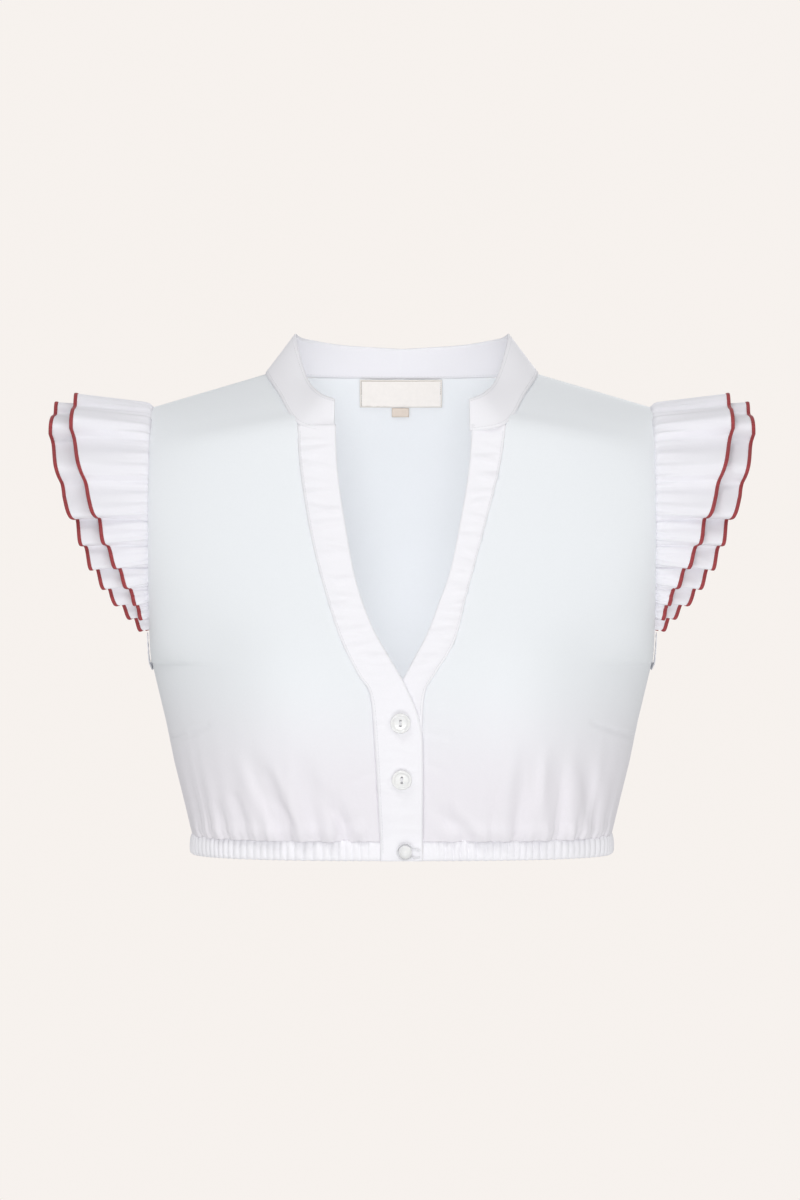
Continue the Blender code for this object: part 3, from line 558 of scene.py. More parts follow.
def band_surface(side, edge, out, columns=14, rows=230):
    """A V band with its small puckers across."""
    z = np.linspace(HEM_BOTTOM_Z, -27.5, rows)[:, None]
    x_seam = side * (lookup(inner_edge(), z, 1 if side < 0 else 2) - 0.1)
    smooth_edge = smooth_stations(sorted(edge), 4.0)
    share = np.linspace(0.0, 1.0, columns + 1)[None, :]
    x = x_seam + (np.interp(z, smooth_edge[:, 0], smooth_edge[:, 1]) - x_seam) * share
    rng = np.random.default_rng(7 if side < 0 else 11)
    pucker = np.zeros_like(x)
    for centre in np.arange(-318.0, -32.0, 6.0):
        centre = centre + rng.uniform(-3.0, 3.0)
        tilt = rng.uniform(-0.25, 0.25)
        deep = rng.uniform(0.7, 1.6) * (1.0 if centre > -200.0 else 0.35)
        wide = rng.uniform(1.0, 2.0)
        middle = rng.uniform(0.0, 0.7)
        reach = rng.uniform(0.25, 0.6)
        level = centre + tilt * (share - 0.5) * 25.0
        pucker += deep * np.exp(-(((z - level) / wide) ** 2)) * np.exp(-(((share - middle) / reach) ** 2))
    apart = np.abs(x - x_seam)
    seat = BAND_SEAM_OUT + (out - BAND_SEAM_OUT) * ease(apart / 7.0)
    y = band_y(x, x_seam, z) - seat - pucker - 0.25 * ease(apart / 1.2) * ease((3.0 - apart) / 1.5)
    return np.stack([x, y, z + 0.0 * x], axis=2)


def collar_surface(rise=12):
    half = smooth_stations(COLLAR_ROWS, 2.0)
    top = half[:, 3:6]
    base = half[:, 0:3] - unit(top - half[:, 0:3]) * COLLAR_TUCK
    share = np.linspace(0.0, 1.0, rise + 1)[:, None, None]
    grid = base[None] + (top - base)[None] * share
    mirrored = grid * np.array([-1.0, 1.0, 1.0])
    return np.concatenate([mirrored, grid[:, -2::-1]], axis=1)


def casing_surface():
    """The elasticated casing, open at the placket, as rings across it at even distances."""
    angle, points, along = hem_curve()
    keep = ~((points[:, 1] < 0) & (np.abs(points[:, 0]) < HEM_OPEN_X))
    at = np.linspace(along[keep][0], along[keep][-1], 1300)
    path = np.stack([np.interp(at, along, points[:, k]) for k in range(2)], axis=1)
    run = unit(np.gradient(path, axis=0))
    outward = np.stack([-run[:, 1], run[:, 0]], axis=1)
    phase = gather_phase(at)
    puff = np.abs(np.cos(phase / 2)) ** 0.7 * 2.0 - 1.3
    size = 0.75 + 0.35 * np.sin(at / 13.0) * np.sin(at / 31.0 + 2.0)
    calm = ease((at - at[0] - 1.0) / 14.0) * ease((at[-1] - 1.0 - at) / 14.0)
    rings = []
    for out, z, share in CASING_OUTLINE:
        lean = 0.35 * np.sin(at / 11.0) * (z + 323.0) / 7.0
        high = sizes().gather_height / MM * (1.0 if out > 0 else -0.7)
        ripple = high * share * calm * size * (puff + lean * 0.6)
        lift = 0.35 * share * calm * np.cos(phase) * (z < -328.0 or z > -317.0)
        rings.append(np.column_stack([path + outward * (out + ripple)[:, None], z + lift]))
    return np.stack(rings, axis=1)


def armhole_point(angle, side):
    """Points on the armhole's oval and the directions that lead out of it."""
    deep = np.where(np.sin(angle) > 0, ARMHOLE_FRONT, ARMHOLE_BACK)
    y = -deep * np.sin(angle)
    z = ARMHOLE_MIDDLE + ARMHOLE_HALF * np.cos(angle)
    outward = np.stack([0.0 * y, -np.sin(angle) / deep, np.cos(angle) / ARMHOLE_HALF], axis=-1)
    return np.stack([side * SHOULDER_X + 0.0 * y, y, z], axis=-1), unit(outward)


def fold_angle(z):
    return math.acos(max(-1.0, min(1.0, (z - ARMHOLE_MIDDLE) / ARMHOLE_HALF)))


def ruffle_marks(layer):
    """Angles on the armhole where the folds of a ruffle begin, from the back end to the front end."""
    front = [fold_angle(z) for z in RUFFLE_FOLDS + RUFFLE_ENDS[layer]]
    return np.array([-angle for angle in reversed(front)] + front)


def ruffle_angle(layer, along):
    marks = ruffle_marks(layer)
    return np.interp(along, np.arange(len(marks)), marks)


def ruffle_width(layer, along):
    z = ARMHOLE_MIDDLE + ARMHOLE_HALF * np.cos(ruffle_angle(layer, along))
    return lookup(RUFFLE_WIDTHS, z, WIDTH_COLUMNS.index(layer))


def fold_reach(side):
    """How deep a fold may be at each mark of the armhole."""
    marks = ruffle_marks("lower")
    apart = np.linalg.norm(np.diff(armhole_point(marks, side)[0], axis=0), axis=1)
    apart = np.concatenate([apart[:1], (apart[1:] + apart[:-1]) / 2, apart[-1:]])
    place = np.ceil(np.abs(np.arange(len(marks)) - (len(marks) - 1) / 2)).astype(int)
    strength = np.array(RUFFLE_STRENGTH)[np.minimum(place, len(RUFFLE_STRENGTH)) - 1]
    return marks, np.minimum(apart * FOLD_SHARE, FOLD_MOST) * strength


def ruffle_at(side, layer, along, away):
    """Points of a ruffle: along counts waves from the back end, away is the distance from the seam."""
    angle = ruffle_angle(layer, along)
    seam, outward = armhole_point(angle, side)
    seam = seam + outward * (RUFFLE_OFF[layer] * ease(away / 5.0 + 0.08))[..., None]
    tangent = unit(armhole_point(angle + 0.01, side)[0] - armhole_point(angle - 0.01, side)[0])
    longest = lookup(RUFFLE_WIDTHS, seam[..., 2], WIDTH_COLUMNS.index("lower"))
    spread = np.minimum(1.0, away / longest)
    deep = SEAM_WAVE + (np.interp(angle, *fold_reach(side)) - SEAM_WAVE) * spread**0.6
    down = np.sign(angle) * ease(np.abs(angle) / 0.35)
    wave = -np.sin((along - np.floor(along)) * 2 * math.pi) * down
    turn = along * 2 * math.pi
    near = (1.0 - spread) ** 1.4 * ease(away / 2.5)
    fine = (1.0 - spread) ** 4 * ease(away / 1.5)
    gathers = 0.75 * np.sin(turn * 4.3 + 1.3 * np.sin(along * 2.1)) * near
    gathers = gathers + 0.5 * np.sin(turn * 2.1 + 0.8) * near
    gathers = gathers + 0.4 * np.sin(turn * 8.3 + 1.7 * np.sin(along * 3.3)) * fine
    point = seam + outward * (deep * (wave + 0.3) + RUFFLE_FLARE[layer] * away + gathers)[..., None]
    point = point + tangent * (deep * wave * FOLD_LEAN * down)[..., None]
    point[..., 0] += side * (away - 0.8)
    point[..., 2] += away * (0.06 * np.cos(angle) - 0.04)
    return point


def ruffle_surface(side, layer, per_wave=40, rows=20):
    waves = len(ruffle_marks(layer)) - 1
    along = np.linspace(0.0, waves, waves * per_wave + 1)[None, :]
    away = (ruffle_width(layer, along) - 0.4) * np.linspace(0.0, 1.0, rows + 1)[:, None]
    return ruffle_at(side, layer, along + 0.0 * away, away)


def edging_surface(side, layer):
    """The overlocked edge: threads wrap round the last millimetres, a ridge for each stitch."""
    waves = len(ruffle_marks(layer)) - 1
    fine = np.linspace(0.0, waves, waves * 60 + 1)
    length = path_lengths(ruffle_at(side, layer, fine, ruffle_width(layer, fine)))
    at = np.linspace(0.0, length[-1], int(length[-1] / 0.3))
    along = np.interp(at, length, fine)[None, :]
    share, half = (column[:, None] for column in np.array(EDGING_SECTION).T)
    away = ruffle_width(layer, along) - sizes().edging_width / MM * (1.0 - share) + 0.15
    middle = ruffle_at(side, layer, along + 0.0 * away, away)
    normal = unit(np.cross(np.gradient(middle, axis=1), np.gradient(middle, axis=0)))
    stitch = np.sin(2 * math.pi * (at[None, :] / EDGING_PITCH + share * 0.55))
    body = (half + 0.17 * stitch)[..., None]
    above = middle + normal * body
    below = middle - normal * body
    return np.concatenate([above, below[::-1], above[:1]], axis=0)


def binding_surface(side, columns=90, rows=5):
    start = fold_angle(-172.0)
    angle = np.linspace(start, 2 * math.pi - start, columns + 1)[None, :]
    radial = np.linspace(0.4, 5.4, rows + 1)[:, None]
    point, outward = armhole_point(angle, side)
    grid = point + outward * radial[..., None]
    pucker = 0.12 * np.sin(angle * 46.0 + 2.0 * np.sin(angle * 7.0))
    grid[..., 0] = side * (lookup(SIDE_SEAM, np.minimum(grid[..., 2], UNDERARM_Z)) + 1.5 + pucker)
    return grid


def set_inputs(tree, node, inputs):
    """Sets a node's inputs to numbers, or links them to sockets."""
    for name, value in inputs.items():
        if isinstance(value, bpy.types.NodeSocket):
            tree.links.new(value, node.inputs[name])
        else:
            node.inputs[name].default_value = value


# The output that is used of some kinds of node: the others give their first one
NODE_OUTPUTS = {"TexCoord": "Object", "TexWave": "Fac", "SeparateXYZ": "Z", "Mix": 2}


def add_node(tree, kind, inputs, **settings):
    """Adds a shader node with its settings and inputs, and gives its output socket."""
    node = tree.nodes.new("ShaderNode" + kind)
    for name, value in settings.items():
        setattr(node, name, value)
    set_inputs(tree, node, inputs)
    return node.outputs[NODE_OUTPUTS.get(kind, 0)]


def noise_scale(size):
    """Scale of a noise whose cells are that many millimetres wide."""
    return 1.0 / (size * MM)


def band_scale(size):
    """Scale of a wave whose bands are that many millimetres apart."""
    return math.pi / 10 / (size * MM)


def shade(colour, factor):
    return (*(value * factor for value in colour[:3]), 1.0)


def poplin(tree, place, colour, softness=0.35, lower_tone=False):
    """Cotton poplin: a tight plain weave of fine warp and weft. The eye sees an even, matt white
    with a faint grain and a little sheen on the folds that turn away. Its cool tint is painted shade, for
    the shade of the inside that one layer lets through; by height, from the bust down, the colour fades
    into a warmer, lavender lower tone. The threads are
    0.28 mm apart and drawn twice as coarse, because finer ones don't show."""
    # Painted tone by height: the painted cool shade of one layer fades into the lower tone between the two
    # fade heights
    if lower_tone:
        height = add_node(tree, "SeparateXYZ", {0: place})
        span = {"Value": height, "From Min": TONE_FADE_TOP, "From Max": TONE_FADE_LOW}
        fade_by_height = add_node(tree, "MapRange", span, interpolation_type="SMOOTHSTEP")
        low = (*bpy.context.scene.blouse_colours.lower_tone, 1.0)
        colour = add_node(tree, "Mix", {0: fade_by_height, 6: colour, 7: low}, data_type="RGBA")
    threads = []
    for turn in ("X", "Z"):
        bands = {"Vector": place, "Scale": band_scale(0.5527), "Distortion": 0.6, "Detail": 1.0}
        threads.append(add_node(tree, "TexWave", bands, bands_direction=turn))
    weave = add_node(tree, "Math", dict(enumerate(threads)), operation="MAXIMUM")
    slubs = add_node(tree, "TexNoise", {"Vector": place, "Scale": noise_scale(1.1111), "Detail": 2.0})
    grey = add_node(tree, "MapRange", {"Value": slubs, "To Min": 0.035, "To Max": 0.0})
    tint = add_node(tree, "Mix", {0: grey, 6: colour, 7: BLACK}, data_type="RGBA")
    crumple = add_node(tree, "TexNoise", {"Vector": place, "Scale": noise_scale(18.182), "Detail": 3.0})
    soft = add_node(tree, "Bump", {"Height": crumple, "Strength": softness, "Distance": 0.7 * MM})
    fine = {"Height": weave, "Strength": 0.3, "Distance": 0.06 * MM, "Normal": soft}
    return {
        "Base Color": tint,
        "Normal": add_node(tree, "Bump", fine),
        "Roughness": 0.82,
        "Sheen Weight": 0.12,
        "Sheen Roughness": 0.5,
        "Specular IOR Level": 0.25,
    }


def overlock_thread(tree, place, colour):
    """Textured polyester overlock thread, laid over the edge in slanting loops. The eye sees a dense
    red cord with a dull shine along each thread. Its colour is painted darker in the gaps between the
    threads, as painted shade, and lighter on them, as painted light, less so in patches."""
    turns = add_node(tree, "TexNoise", {"Vector": place, "Scale": noise_scale(1.5625), "Detail": 2.0})
    # Painted shade and light: the bump's noise darkens the thread colour in the gaps and lightens it on the
    # threads
    light = tuple(min(1.0, value * 1.3 + 0.01) for value in colour)
    lit = {0: turns, 6: shade(colour, 0.55), 7: light}
    threads = add_node(tree, "Mix", lit, data_type="RGBA")
    patches = add_node(tree, "TexNoise", {"Vector": place, "Scale": noise_scale(16.667), "Detail": 1.0})
    # Patches where the painted shade and light are weaker
    weaker_shading = add_node(tree, "Math", {0: patches, 1: 0.3}, operation="MULTIPLY")
    patchy_shading = {0: weaker_shading, 6: threads, 7: colour}
    bump = {"Height": turns, "Strength": 0.5, "Distance": 0.2 * MM}
    return {
        "Base Color": add_node(tree, "Mix", patchy_shading, data_type="RGBA"),
        "Normal": add_node(tree, "Bump", bump),
        "Roughness": 0.62,
        "Sheen Weight": 0.2,
    }


def sewing_thread(tree, place, colour):
    """Spun polyester sewing thread, two plies twisted. The eye sees small white dashes with a soft
    shine that stand out by their shadow alone."""
    twist = add_node(tree, "TexNoise", {"Vector": place, "Scale": noise_scale(0.3846), "Detail": 1.0})
    plies = {0: twist, 6: shade(colour, 0.82), 7: colour}
    bump = {"Height": twist, "Strength": 0.3, "Distance": 0.1 * MM}
    return {
        "Base Color": add_node(tree, "Mix", plies, data_type="RGBA"),
        "Normal": add_node(tree, "Bump", bump),
        "Roughness": 0.55,
    }


def button_resin(tree, place, colour):
    """Cast polyester, turned and polished. The eye sees a milky white with faint pearl clouds, a
    bright rim and a soft reflection."""
    cloudy = {"Vector": place, "Scale": noise_scale(4.1667), "Detail": 3.0, "Distortion": 1.4}
    clouds = add_node(tree, "TexNoise", cloudy)
    pearl = (*(value * factor for value, factor in zip(colour, (0.86, 0.88, 0.92))), 1.0)
    veins = add_node(tree, "TexNoise", {"Vector": place, "Scale": noise_scale(1.1111), "Detail": 2.0})
    polish = {"Value": veins, "To Min": 0.16, "To Max": 0.34}
    milk = {0: clouds, 6: pearl, 7: colour}
    return {
        "Base Color": add_node(tree, "Mix", milk, data_type="RGBA"),
        "Roughness": add_node(tree, "MapRange", polish),
        "Coat Weight": 0.4,
        "Coat Roughness": 0.12,
    }


def woven_satin(tree, place, colour):
    """Polyester satin ribbon woven on a narrow loom. The eye sees a warm ivory with fine crosswise
    ribs, drawn twice as coarse as their 0.2 mm, and a gentle shine."""
    bands = {"Vector": place, "Scale": band_scale(0.3948), "Distortion": 0.3}
    ribs = add_node(tree, "TexWave", bands, bands_direction="Z")
    uneven = add_node(tree, "TexNoise", {"Vector": place, "Scale": noise_scale(2.5), "Detail": 2.0})
    yarn = {0: uneven, 6: shade(colour, 0.93), 7: colour}
    bump = {"Height": ribs, "Strength": 0.3, "Distance": 0.05 * MM}
    return {
        "Base Color": add_node(tree, "Mix", yarn, data_type="RGBA"),
        "Normal": add_node(tree, "Bump", bump),
        "Roughness": 0.45,
        "Sheen Weight": 0.1,
    }


def studio_paper(tree, place, colour):
    """Seamless studio paper, lit evenly. The eye sees one pale tone with the faintest clouds of pulp."""
    pulp = add_node(tree, "TexNoise", {"Vector": place, "Scale": noise_scale(333.33), "Detail": 1.0})
    tone = {0: pulp, 6: shade(colour, 0.995), 7: colour}
    return {
        "Emission Color": add_node(tree, "Mix", tone, data_type="RGBA"),
        "Emission Strength": 1.0,
        "Base Color": BLACK,
        "Roughness": 1.0,
        "Specular IOR Level": 0.0,
    }


# What makes each material, its colour and its other settings
MATERIALS = {
    # White Poplin paints its cool shade above and fades by height into the lower tone
    "White Poplin": (poplin, "poplin", {"lower_tone": True}),
    "Interlined Poplin": (poplin, "band", {"softness": 0.2}),
    # Ruffle Poplin is a painted-shade copy of the poplin, a little darker for the well-lit ruffles
    "Ruffle Poplin": (poplin, "ruffle", {"softness": 0.25}),
    "Overlock Thread": (overlock_thread, "edging", {}),
    "Sewing Thread": (sewing_thread, "thread", {}),
    "Elastic Cord": (sewing_thread, "thread", {}),
    "Border Thread": (sewing_thread, "label_thread", {}),
    "Button Resin": (button_resin, "button", {}),
    "Label Satin": (woven_satin, "label", {}),
    "Tab Satin": (woven_satin, "tab", {}),
    "Studio Paper": (studio_paper, "backdrop", {}),
}


def material(name):
    """The material of that name, made when it is first asked for."""
    made = bpy.data.materials.get(name)
    if made is None:
        made = bpy.data.materials.new(name)
        made.use_nodes = True
        tree = made.node_tree
        build, colour, settings = MATERIALS[name]
        colour = (*getattr(bpy.context.scene.blouse_colours, colour), 1.0)
        place = add_node(tree, "TexCoord", {})
        set_inputs(tree, tree.nodes["Principled BSDF"], build(tree, place, colour, **settings))
    return made


def new_mesh(name, points, faces):
    """A smooth mesh from points in millimetres."""
    mesh = bpy.data.meshes.new(name)
    mesh.from_pydata((points * MM).tolist(), [], faces)
    mesh.shade_smooth()
    return mesh


@contextmanager
def edited(mesh):
    """Opens a mesh for editing and writes it back."""
    body = bmesh.new()
    body.from_mesh(mesh)
    yield body
    body.to_mesh(mesh)
    body.free()


def grid_mesh(name, grid, closed=False):
    """A mesh from rows of points in millimetres. closed joins the last column to the first."""
    rows, columns = grid.shape[:2]
    index = np.arange(rows * columns).reshape(rows, columns)
    if closed:
        index = np.concatenate([index, index[:, :1]], axis=1)
    faces = np.stack([index[:-1, :-1], index[:-1, 1:], index[1:, 1:], index[1:, :-1]], axis=-1)
    return new_mesh(name, grid.reshape(-1, 3), faces.reshape(-1, 4).tolist())


def ball_mesh(name, columns, rows, radius):
    mesh = bpy.data.meshes.new(name)
    with edited(mesh) as body:
        bmesh.ops.create_uvsphere(body, u_segments=columns, v_segments=rows, radius=radius)
    return mesh


def tube_mesh(name, path, radius, sides=12, ridge=0.0, pitch=1.0):
    """A round tube along a path in millimetres, with slanting ridges if asked for."""
    run = unit(np.gradient(path, axis=0))
    across = unit(np.cross(run, FORWARDS))
    up = np.cross(across, run)
    length = path_lengths(path)
    rings = []
    for turn in np.arange(sides) * 2 * math.pi / sides:
        swell = radius + ridge * np.sin(2 * math.pi * length / pitch + 2 * turn)
        rings.append(path + (across * math.cos(turn) + up * math.sin(turn)) * swell[:, None])
    mesh = grid_mesh(name, np.stack(rings, axis=1), closed=True)
    with edited(mesh) as body:
        verts = list(body.verts)
        body.faces.new(verts[:sides])
        body.faces.new(verts[: -sides - 1 : -1])
        bmesh.ops.recalc_face_normals(body, faces=body.faces)
    mesh.shade_smooth()
    return mesh


def turned_mesh(name, profile, sides):
    """A solid of revolution about Z from radius and height pairs in millimetres."""
    angle = np.linspace(0.0, 2 * math.pi, sides, endpoint=False)
    rings = np.array([[(r * math.cos(a), r * math.sin(a), h) for a in angle] for r, h in profile])
    mesh = grid_mesh(name, rings, closed=True)
    with edited(mesh) as body:
        bmesh.ops.remove_doubles(body, verts=body.verts, dist=0.005 * MM)
        bmesh.ops.recalc_face_normals(body, faces=body.faces)
    return mesh


def stitch_mesh(name, line, outward, sides=5):
    """Lockstitches along a line in millimetres: short rounded threads that dip in at both ends."""
    step = sizes().stitch_length / MM
    radius = sizes().thread_width / MM / 2
    length = path_lengths(line)
    count = max(1, int(length[-1] / step))
    share, lift = np.array(STITCH_SECTIONS).T
    at = (np.arange(count) * length[-1] / count)[:, None] + share * step * STITCH_SHARE

    def place(path, along):
        return np.stack([np.interp(along, length, path[:, k]) for k in range(3)], axis=-1)[:, :, None]

    up = place(outward, at)
    across = unit(np.cross(place(line, at + 0.2) - place(line, at - 0.2), up))
    turn = np.arange(sides) * 2 * math.pi / sides
    raised = radius * (lift[:, None] + np.cos(turn))[:, :, None]
    points = place(line, at) + up * raised + across * (radius * np.sin(turn))[:, None]
    index = np.arange(points.size // 3).reshape(points.shape[:3])
    low, high = index[:, :-1], index[:, 1:]
    faces = np.stack([low, np.roll(low, -1, 2), np.roll(high, -1, 2), high], axis=-1).reshape(-1, 4).tolist()
    ends = np.concatenate([index[:, 0], index[:, -1, ::-1]]).tolist()
    return new_mesh(name, points.reshape(-1, 3), faces + ends)


def collection():
    found = bpy.data.collections.get("Blouse")
    if found is None:
        found = bpy.data.collections.new("Blouse")
        bpy.context.scene.collection.children.link(found)
    return found


def add_piece(name, mesh, finish, node=None):
    """Links a piece, lets it ride on the blouse and take the place of the CAD node it dresses."""
    item = bpy.data.objects.new("cloth_" + name.lower().replace(" ", "_"), mesh)
    item.data.materials.append(material(finish))
    collection().objects.link(item)
    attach(item, BODY)
    if node:
        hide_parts(node)
    return item


def add_cloth(name, grid, wall, finish, node):
    """A thin shell of cloth on a grid of points in millimetres."""
    item = add_piece(name, grid_mesh(name, grid), finish, node)
    solid = item.modifiers.new("Wall", "SOLIDIFY")
    solid.thickness = wall
    solid.offset = 0.0
    solid.use_rim = True
    return item


def add_stitches(name, line, outward, lift):
    """Stitches on a line of a surface, lifted by half the cloth's thickness in millimetres."""
    mesh = stitch_mesh(name, line + np.asarray(outward) * lift, outward)
    return add_piece(name, mesh, "Sewing Thread")


class BLOUSE_OT_make_back(bpy.types.Operator):
    """Makes the one-piece back with its gathered hem"""

    bl_idname = "blouse.make_back"
    bl_label = "Make Back"

    def execute(self, context):
        piece = add_cloth("Back", back_surface(), sizes().cloth_wall, "White Poplin", "back")
        return {"FINISHED"}


class BLOUSE_OT_make_fronts(bpy.types.Operator):
    """Makes the right and left front with their darts, folds and gathered hem"""

    bl_idname = "blouse.make_fronts"
    bl_label = "Make Fronts"

    def execute(self, context):
        for side, name in SIDES:
            grid = front_surface(side)
            piece = add_cloth(f"Front {name}", grid, sizes().cloth_wall, "White Poplin", f"front_{name}")
        return {"FINISHED"}


class BLOUSE_OT_make_collar(bpy.types.Operator):
    """Makes the small stand collar, open at the front"""

    bl_idname = "blouse.make_collar"
    bl_label = "Make Collar"

    def execute(self, context):
        grid = collar_surface()
        piece = add_cloth(
            "Collar stand", grid, sizes().collar_wall, "Interlined Poplin", "collar_stand"
        )
        outward = outward_normals(grid, grid)
        for name, row, face in (("stitches 0", 1, 1), ("stitches 1", -2, 1), ("inner stitches", 1, -1)):
            add_stitches(f"Collar {name}", grid[row], face * outward[row], STITCH_LIFT)
        return {"FINISHED"}


class BLOUSE_OT_make_bands(bpy.types.Operator):
    """Makes the two V bands that run down into the placket"""

    bl_idname = "blouse.make_bands"
    bl_label = "Make Bands"

    def execute(self, context):
        shapes = ((OVER_EDGE, OVER_BAND_OUT), (UNDER_EDGE, UNDER_BAND_OUT))
        for (side, name), (edge, out) in zip(SIDES, shapes):
            grid = band_surface(side, edge, out)
            piece = add_cloth(
                f"V band {name}", grid, sizes().collar_wall, "Interlined Poplin", f"band_{name}"
            )
            outward = outward_normals(grid, FORWARDS)
            seam = (slice(4, -3), 1)
            rows = [add_stitches(f"V band {name} stitches", grid[seam], outward[seam], STITCH_LIFT)]
        return {"FINISHED"}


class BLOUSE_OT_make_casing(bpy.types.Operator):
    """Makes the elasticated hem casing with its gathers"""

    bl_idname = "blouse.make_casing"
    bl_label = "Make Casing"

    def execute(self, context):
        mesh = grid_mesh("Hem casing", casing_surface(), closed=True)
        piece = add_piece("Hem casing", mesh, "Interlined Poplin", "hem_casing")
        return {"FINISHED"}


class BLOUSE_OT_make_sleeves(bpy.types.Operator):
    """Makes the two-layer flutter sleeves, their overlocked edges and the bound underarms"""

    bl_idname = "blouse.make_sleeves"
    bl_label = "Make Sleeves"

    def execute(self, context):
        wall = sizes().cloth_wall
        for side, name in SIDES:
            for layer, flat in (("upper", (0.52, 0.057)), ("lower", (0.58, 0.072))):
                grid = ruffle_surface(side, layer)
                title = f"Sleeve {name} {layer}"
                piece = add_cloth(title, grid, wall, "Ruffle Poplin", f"sleeve_{name}_{layer}")
                title += " edging"
                mesh = grid_mesh(title, edging_surface(side, layer))
                edging = add_piece(title, mesh, "Overlock Thread")
            title = f"Armhole binding {name}"
            grid = binding_surface(side)
            binding = add_cloth(title, grid, wall, "Interlined Poplin", f"armhole_binding_{name}")
        return {"FINISHED"}


def placket_y(x, z):
    """Depth of the over-placket's face at a place."""
    middle = float(band_y(np.asarray(float(x)), PLACKET_SEAM_X, np.asarray(float(z))))
    return middle - OVER_BAND_OUT - sizes().collar_wall / MM / 2


def button_turn(node):
    """Where a CAD button sits: the middle of its box, leaning as the placket behind it does."""
    low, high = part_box(node)
    middle = (low + high) / 2
    x = middle.x / MM
    z = middle.z / MM
    slope = (placket_y(x, z + 6.0) - placket_y(x, z - 6.0)) / 12.0
    tilt = Matrix.Rotation(math.pi / 2 - math.atan(slope), 4, "X")
    return Matrix.Translation(middle) @ tilt @ Matrix.Translation((0.0, 0.0, -BUTTON_THICK / 2 * MM))


def drilled_button(node, turn):
    """A dished button with its two thread holes cut through, as one mesh."""
    grow = sizes().button_width / MM / BUTTON_DRAWN
    profile = [(r * grow, h) for r, h in BUTTON_PROFILE]
    item = bpy.data.objects.new(node, turned_mesh(node, profile, 64))
    collection().objects.link(item)
    radius = BUTTON_HOLE / 2
    hole = [(0.0, -3.0), (radius, -3.0), (radius, 6.0), (0.0, 6.0)]
    cutters = []
    for up in (-1, 1):
        cutter = bpy.data.objects.new("Hole", turned_mesh("Hole", hole, 20))
        collection().objects.link(cutter)
        cutter.matrix_world = Matrix.Translation((0.0, up * BUTTON_HOLE_APART / 2 * MM, 0.0))
        cut = item.modifiers.new("Hole", "BOOLEAN")
        cut.operation = "DIFFERENCE"
        cut.object = cutter
        cutters.append(cutter)
    bpy.context.view_layer.update()
    made = item.evaluated_get(bpy.context.evaluated_depsgraph_get())
    mesh = bpy.data.meshes.new_from_object(made)
    for spare in cutters + [item]:
        bpy.data.objects.remove(spare)
    mesh.transform(turn)
    mesh.shade_smooth()
    mesh.set_sharp_from_angle(angle=math.radians(48.0))
    mesh.materials.clear()
    return mesh


def button_thread(turn):
    """Three strands of thread from hole to hole, down into the button at both ends."""
    share = np.linspace(0.0, 1.0, 13)
    thread = bpy.data.meshes.new("thread")
    with edited(thread) as body:
        for index, shift in enumerate((-0.32, 0.0, 0.33)):
            across = shift + 0.12 * index * (share - 0.5)
            up = (share - 0.5) * (BUTTON_HOLE_APART + 0.3)
            high = 1.9 + 0.32 * np.sin(share * math.pi) - 2.2 * np.abs(2 * share - 1) ** 6
            line = [turn @ (Vector(place) * MM) / MM for place in zip(across, up, high)]
            body.from_mesh(tube_mesh("strand", np.array(line), 0.27, 8, 0.04, 0.9))
    thread.shade_smooth()
    return thread


class BLOUSE_OT_make_buttons(bpy.types.Operator):
    """Makes the two placket buttons with their sewing thread"""

    bl_idname = "blouse.make_buttons"
    bl_label = "Make Buttons"

    def execute(self, context):
        for node in ("button_upper", "button_lower"):
            turn = button_turn(node)
            add_piece(node, drilled_button(node, turn), "Button Resin", node)
            add_piece(node + "_thread", button_thread(turn), "Sewing Thread")
        return {"FINISHED"}


class BLOUSE_OT_make_hem_closure(bpy.types.Operator):
    """Makes the small ball button at the hem and the elastic loop round it"""

    bl_idname = "blouse.make_hem_closure"
    bl_label = "Make Hem Closure"

    def execute(self, context):
        low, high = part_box("hem_button")
        size = high - low
        mesh = ball_mesh("Hem button", 40, 24, 0.5)
        mesh.transform(Matrix.Translation((low + high) / 2) @ Matrix.Diagonal((*size, 1.0)))
        mesh.shade_smooth()
        add_piece("Hem button", mesh, "Button Resin", "hem_button")
        low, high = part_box("hem_loop")
        x, z = HEM_BUTTON_PLACE
        y = (low.y + high.y) / 2 / MM
        reach = size.x / MM / 2 + LOOP_RADIUS + 0.25
        line = [(LOOP_END_X, y + 0.3, z + 0.9), (9.6, y + 0.1, z + 1.9)]
        for angle in np.radians(np.linspace(32.0, 324.0, 37)):
            line.append((x + reach * math.cos(angle), y, z + reach * math.sin(angle)))
        line += [(9.0, y + 0.1, z - 4.4), (LOOP_END_X, y + 0.3, z - 3.6)]
        mesh = tube_mesh("Hem loop", smooth_stations(line, 0.25), LOOP_RADIUS, 12, 0.05, 1.1)
        add_piece("Hem loop", mesh, "Elastic Cord", "hem_loop")
        return {"FINISHED"}


def lining_sheet(wide, high, x_middle, z_top, columns, rows):
    """A small woven piece that lies on the inside of the back."""
    places = []
    for z in z_top - high * (1 - np.arange(rows + 1) / rows):
        for x in x_middle + wide * (np.arange(columns + 1) / columns - 0.5):
            places.append((x, back_lining(x, z) - LABEL_OUT, z))
    return np.array(places).reshape(rows + 1, columns + 1, 3)


